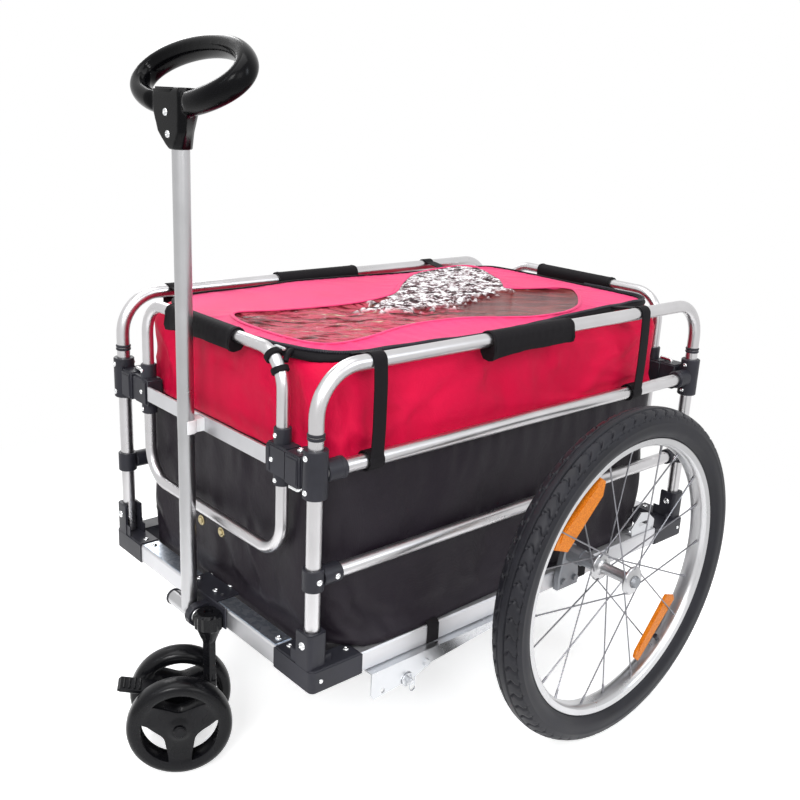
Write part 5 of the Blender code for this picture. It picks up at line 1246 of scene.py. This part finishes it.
def film_height(x, y, inside):
    """Crumples of the film: long streaks in front, a crushed patch behind, smooth near the left edge."""
    crushed, front = film_zone(x, y)
    along, across = x * 0.58 + y * 0.81, x * 0.81 - y * 0.58
    wide, fine = crease((along * 0.30, across, 0), 4, 42.0), crease((along * 0.4, across, 0), 9, 90.0)
    streaks = wide * 0.0024 + fine * 0.0012
    patch = crease((along * 0.6, across, 0), 2, 46.0) * 0.0042 + crease((x, y, 0), 6, 110.0) * 0.0022
    height = front * (1 - crushed) * streaks + crushed * (0.75 * patch + 0.001)
    height += wobble((x, y, 0), 8, 16, 0.0030)
    return min(1.0, inside / 0.012) * (height - 0.0035 * (1 - crushed))


def cover_film(edge):
    """The crumpled film that fills the window, each point's zone kept as a colour from which the material
    paints shade, reflections and glints.
    """
    rows = []
    middle = Vector((0.045, 0.020, 0))
    for share in np.linspace(0.0, 0.985, 90):
        row = []
        for p in edge:
            x, y = p.x + (middle.x - p.x) * share, p.y + (middle.y - p.y) * share
            row.append((x, y, p.z - 0.0006 + film_height(x, y, math.hypot(x - p.x, y - p.y))))
        rows.append(row)
    film_sheet = sheet("cover_window", rows, "film")
    zone = film_sheet.data.color_attributes.new("zone", "FLOAT_COLOR", "POINT")
    for entry, (x, y, _) in zip(zone.data, points_of(film_sheet.data)):
        entry.color = (*film_zone(x, y), 0.0, 1.0)
    thicken(film_sheet, 0.0003)
    return film_sheet


def zip_tape(edge):
    """A black tape round the cover's edge, wide and loose over the zip on the left, and the zip's teeth."""
    rows = [[], [], [], []]
    coil = []
    places = (-0.36, -0.30, -0.22, -0.12, 0.10, 0.25, 0.34)
    widths = (0.0090, 0.0120, 0.0105, 0.0050, 0.0040, 0.0055, 0.0060)
    for i, p in enumerate(edge):
        tangent = (edge[(i + 1) % AROUND] - edge[i - 1]).normalized()
        way = Vector((tangent.y, -tangent.x, 0))
        if way.dot(Vector((p.x, p.y, 0))) < 0:
            way = -way
        near = clamp((p.x - 0.02) / 0.06)
        wide = 0.0035 + near * float(np.interp(p.y, places, widths))
        wave = wobble(p, 2, 24, 0.0034) * (0.4 + near)
        rise = UP * (0.0012 + 0.5 * wave)
        outer = p + way * (wide + wave)
        drop = UP * (0.50 * wide + abs(wave))
        lapped = (p - way * 0.0020 + rise, p.lerp(outer, 0.45) + rise + UP * 0.0010)
        for row, point in zip(rows, (*lapped, outer - drop * 0.4, outer - way * 0.0015 - drop)):
            row.append(point)
        if p.x > 0.03:
            coil.append(p.lerp(outer, 0.55) + rise * 1.2 + UP * 0.0012)
    band = sheet("cover_piping", rows, "web")
    thicken(band, 0.0022, 1)
    put_on(band, "web", "top_cover")
    line = smooth_loop(sorted(coil, key=lambda q: math.atan2(q.y, q.x))[::3], 1300, closed=False)
    bm = bmesh.new()
    tube(bm, line, None, 8, [0.0024 if i % 4 < 2 else 0.0013 for i in range(len(line))])
    return [band, piece("cover_zip_teeth", bm, "plastic", "top_cover", slot="black_webbing")]


def flat_area(loop):
    return abs(sum(a.x * b.y - b.x * a.y for a, b in edges_of(loop))) / 2


def cover():
    """The cloth panel round its window, the film in it, the window's hem and the zip."""
    steps = 22
    edge = cover_edge()
    window = smooth_loop([(x, y, COVER_Z + 0.002) for x, y in WINDOW], AROUND)
    rows = []
    for share in np.linspace(0, 1, steps):
        rise = 0.0035 * math.sin(math.pi * min(share * 1.4, 1.0) / 2)
        rows.append([Vector((*a.lerp(b, share).xy, COVER_Z + rise)) for a, b in zip(edge, window)])
    # The cover panel is the sides' red lightened by painted top light
    panel = sheet("cover_panel", rows, "red_painted_top_light")
    points = points_of(panel.data)
    start = points.copy()
    hold = np.sin(np.pi * np.repeat(np.linspace(0, 1, steps), AROUND))
    lift = [
        noise.noise(Vector(p) * 9 + Vector((3, 8, 0))) + 0.35 * noise.noise(Vector(p) * 22)
        for p in points
    ]
    points[:, 2] += np.array(lift) * hold * 0.0035
    points = simulate(panel, points, 1, 0.005, 0.2, 5.0)
    points[:, 2] = start[:, 2] + limited(points[:, 2] - start[:, 2], 0.0050)
    put_points(panel, points)
    inner_edge = [Vector(p) for p in points[-AROUND:]]
    thicken(panel, 0.0012)
    film_sheet = cover_film(inner_edge)
    bm = bmesh.new()
    flat_tube(bm, [p + UP * 0.0004 for p in inner_edge], 0.0030, 0.35)
    hem = piece("cover_window_hem", bm, "red_painted_top_light", "top_cover")
    tape = zip_tape(edge)
    put_on(panel, "red_painted_top_light", "top_cover", "cover")
    put_on(film_sheet, "film", "top_cover")
    area = flat_area(edge) - flat_area(window)


# Carry grips and straps

def carry_grip(side, centre, outer, bar, flap, seed):
    """A padded sleeve closed round a top bar, with a lapped seam and creased ends.

    Outer is 1 or -1, the side of the bar on which the flap hangs.
    """
    half, crown = 0.0825, bar + 0.0030

    def at(length, across, up):
        across *= outer
        return Vector(centre) + Vector((length, across, up) if side in FRONT_REAR else (across, length, up))

    def bend(*place):
        return noise.noise(Vector(place))

    outline = arc((0, 0), crown, -10, 190, 10)
    outline += [(-crown + 0.0008, -0.006), (-crown + 0.0030, -0.013), (-0.0035, flap + 0.0012)]
    outline += [(0.0010, flap), (0.0052, flap - 0.0006), (crown - 0.0010, flap + 0.0012)]
    outline += [(crown + 0.0012, -0.012), (crown + 0.0006, -0.006)]
    rows = []
    for i in range(73):
        s = -1 + 2 * i / 72
        flare = 0.0014 * max(0.0, abs(s) - 0.86) / 0.14
        row = []
        for k, (u, v) in enumerate(outline):
            low = clamp(-v / 0.018)
            fold = 0.0011 * low * bend(s * 4.0 + seed, k * 0.45, seed)
            fold += 0.0005 * bend(s * 11.0, k * 0.8, seed)
            droop = low * (0.0012 * bend(s * 2.2, seed, 3.0) - 0.0055 * max(0.0, -s) ** 2)
            length = s * (half - 0.0015) + low * 0.0012 * s + 0.0006 * bend(k * 0.5, s, seed)
            row.append(at(length, u + (flare + fold) * (1 if u > 0 else -0.4), v + droop))
        rows.append(row)
    for s in (half * 0.97, -half * 0.97):
        shares = [(bar + 0.0006) / math.hypot(u, v + 0.001) for u, v in outline]
        rows.append([at(s, u * share, v * share) for (u, v), share in zip(outline, shares)])
    bm = bmesh.new()
    skin(bm, rows, closed=True)
    for s in (-0.94 * half, 0.94 * half):
        loop = [at(s, u * 1.02 + (0.0006 if u > 0 else 0), v * 1.01) for u, v in outline]
        tube(bm, loop, 0.0005, 6, closed=True)
    piece("carry_grip_" + side, bm, "web", node="grip_" + side, angle=34)


def carry_grips():
    carry_grip("front", (-0.012, -RING_Y, RING_TOP), -1, RING_TUBE, -0.0190, 1.0)
    carry_grip("rear", (-0.012, RING_Y, RING_TOP), 1, RING_TUBE, -0.0190, 5.0)
    carry_grip("left", (HOOP_X, -0.030, HOOP_TOP), 1, TUBE, -0.0205, 9.0)
    carry_grip("right", (-HOOP_X, -0.030, HOOP_TOP), -1, TUBE, -0.0205, 13.0)


def side_straps():
    """Straps from the cover over each hoop to a loop on the middle bar, and those on the rails."""
    bm = bmesh.new()
    out = TUBE + 0.0012
    for y, edge_x in ((-0.300, 0.1965), (0.224, 0.1860)):
        path = [(edge_x, COVER_Z + 0.0010), (edge_x + 0.012, COVER_Z + 0.0022), (0.2215, COVER_Z + 0.0062)]
        path += arc((HOOP_X, HOOP_TOP), out, 140, 0, 14)
        for share in np.linspace(0.06, 0.94, 12):
            bulge = 0.0016 * math.sin(math.pi * share) + 0.0003
            path.append((HOOP_X + out + bulge, HOOP_TOP + (MID_Z - HOOP_TOP) * share))
        path += arc((HOOP_X, MID_Z), out, 0, -220, 22)
        ribbon(bm, path, y - STRAP_HALF, y + STRAP_HALF)
        ribbon(bm, arc((HOOP_X, MID_Z), out + 0.0016, 360, 10, 35), y - 0.0112, y + 0.0112, closed=True)
    piece("side_straps_{}", bm, "web", sides=LEFT_RIGHT, angle=50)
    bm = bmesh.new()
    face = RAIL_OUT_X + 0.0010
    for y in (-0.195, 0.120):
        hem = BAG_X + float(np.interp(y, HEM_PLACES, HEM_REACHES))
        path = [(hem - 0.004, 0.2236), (face - 0.0025, 0.2220), (face, RAIL_TOP - 0.0015)]
        path += [(face, RAIL_TOP - 0.012), (face, RAIL_LOW + 0.0015)]
        ribbon(bm, path, y - STRAP_HALF, y + STRAP_HALF)
    piece("rail_straps_{}", bm, "web", sides=LEFT_RIGHT, angle=50)


def snaps():
    bm = bmesh.new()
    for x, z in SNAPS:
        post(bm, (x, BAG_FRONT, z), BACK, -0.0030, 0.010, 0.0078, 28, 0.0010)
        post(bm, (x, BAG_FRONT, z), BACK, -0.0048, 0.010, 0.0048, 28, 0.0012)
    piece("bag_snaps", bm, "brass")


def corner_tie():
    """Two sleeves on the front ring's left bend with a short strap to the cover, and the zip's slider."""
    bm = bmesh.new()
    for turn in (math.radians(32), math.radians(58)):
        x, z = polar(RING_BEND, turn)
        middle = Vector((RING_X - RING_BEND + x, -RING_Y, RING_TOP - RING_BEND + z))
        sleeve(bm, middle, (-math.sin(turn), 0, math.cos(turn)), -0.0038, 0.0038, 0.0112, 0.0080)
    path = [(0.150, -0.352, 0.5945), (0.153, -0.360, 0.5950)]
    path += [(0.157, -0.368, 0.5905), (0.160, -0.3715, 0.5850)]
    tube(bm, path, 0.0034, 12)
    piece("cover_corner_tie", bm, "web")
    bm = bmesh.new()
    box(bm, (0.134, -0.372, 0.5965), (0.154, -0.366, 0.6000), 0.0010)
    piece("cover_slider", bm, "screw", "top_cover")


# The remaining CAD pieces, camera and light

def repaint():
    for material, nodes in REPAINTS.items():
        for node in nodes:
            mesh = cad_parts[node].data
            mesh.materials.clear()
            mesh.materials.append(M[material])


def camera():
    data = bpy.data.cameras.new("camera")
    data.lens, data.sensor_width = 43.77, 36.0
    azimuth, elevation, roll = math.radians(47.817), math.radians(17.178), math.radians(2.8175)
    x, y = polar(math.cos(elevation), azimuth)
    back = Vector((y, -x, math.sin(elevation)))
    right = (-back).cross(UP).normalized()
    up = right.cross(-back)
    c, s = polar(1.0, roll)
    turn = Matrix((right * c + up * s, up * c - right * s, back)).transposed().to_4x4()
    obj = linked("camera", data)
    obj.matrix_world = Matrix.Translation((1.0741, -0.9488, 0.8873)) @ turn
    bpy.context.scene.camera = obj


def lamps():
    for name, (place, size, power, colour) in LAMPS.items():
        data = bpy.data.lights.new(name, "AREA")
        data.shape = "RECTANGLE"
        data.size, data.size_y = size
        data.energy = power
        data.color = colour
        obj = linked(name, data)
        obj.location = place
        obj.rotation_euler = (LAMP_AIM - Vector(place)).to_track_quat("-Z", "Y").to_euler()


def seen_rays(tree):
    """1 for the rays that see a surface directly, in a reflection or through glass."""
    rays = add(tree, "LightPath", {}).outputs
    kinds = ("Camera", "Glossy", "Transmission")
    return combined(tree, "MAXIMUM", *(rays[f"Is {kind} Ray"] for kind in kinds))


def floor_material():
    """White paper that takes the object's shadow near it and is plain white further out."""
    white = (1.0, 1.0, 1.0, 1.0)
    material, tree = shader("floor_white", (0.90, 0.90, 0.90), Roughness=0.9, Specular_IOR_Level=0.0)
    seen = seen_rays(tree)
    surface(tree, Emission_Color=white, Emission_Strength=combined(tree, "MULTIPLY", seen, 0.62))
    place = add(tree, "TexCoord", {}).outputs["Object"]
    reach = add(tree, "VectorMath", {0: place}, operation="LENGTH").outputs["Value"]
    far = spread(tree, reach, 0.0, 1.0, 0.55, 1.30, interpolation_type="SMOOTHSTEP")
    share = combined(tree, "MULTIPLY", seen, far)
    paper = tree.nodes["Principled BSDF"].outputs["BSDF"]
    plain = add(tree, "Emission", {}).outputs["Emission"]
    mix = add(tree, "MixShader", {"Fac": share, 1: paper, 2: plain}).outputs["Shader"]
    feed(tree, tree.nodes["Material Output"], {"Surface": mix})
    return material


def studio():
    """Lamps, a soft world that is seen as plain white, and the floor."""
    lamps()
    world = bpy.data.worlds.new("studio")
    bpy.context.scene.world = world
    world.use_nodes = True
    tree = world.node_tree
    tree.nodes.clear()
    soft, white = (
        add(tree, "Background", {"Color": (1.0, 1.0, 1.0, 1.0), "Strength": strength}).outputs["Background"]
        for strength in (0.38, 1.0)
    )
    mix = add(tree, "MixShader", {"Fac": seen_rays(tree), 1: soft, 2: white}).outputs["Shader"]
    add(tree, "OutputWorld", {"Surface": mix})
    bm = bmesh.new()
    bmesh.ops.create_grid(bm, x_segments=1, y_segments=1, size=30.0)
    floor = linked("floor", as_mesh(bm, "floor", outward=False))
    floor.location.z = -0.0005
    floor.data.materials.append(floor_material())
    bpy.context.scene.view_settings.view_transform = "Standard"


for make in (
    tube_frame, connectors, pins, corner_castings, fasteners, handle, caster, tyre, rim, hub, reflectors,
    valve, bag, cover, carry_grips, side_straps, snaps, corner_tie, repaint, camera, studio,
):
    make()

bpy.context.view_layer.update()
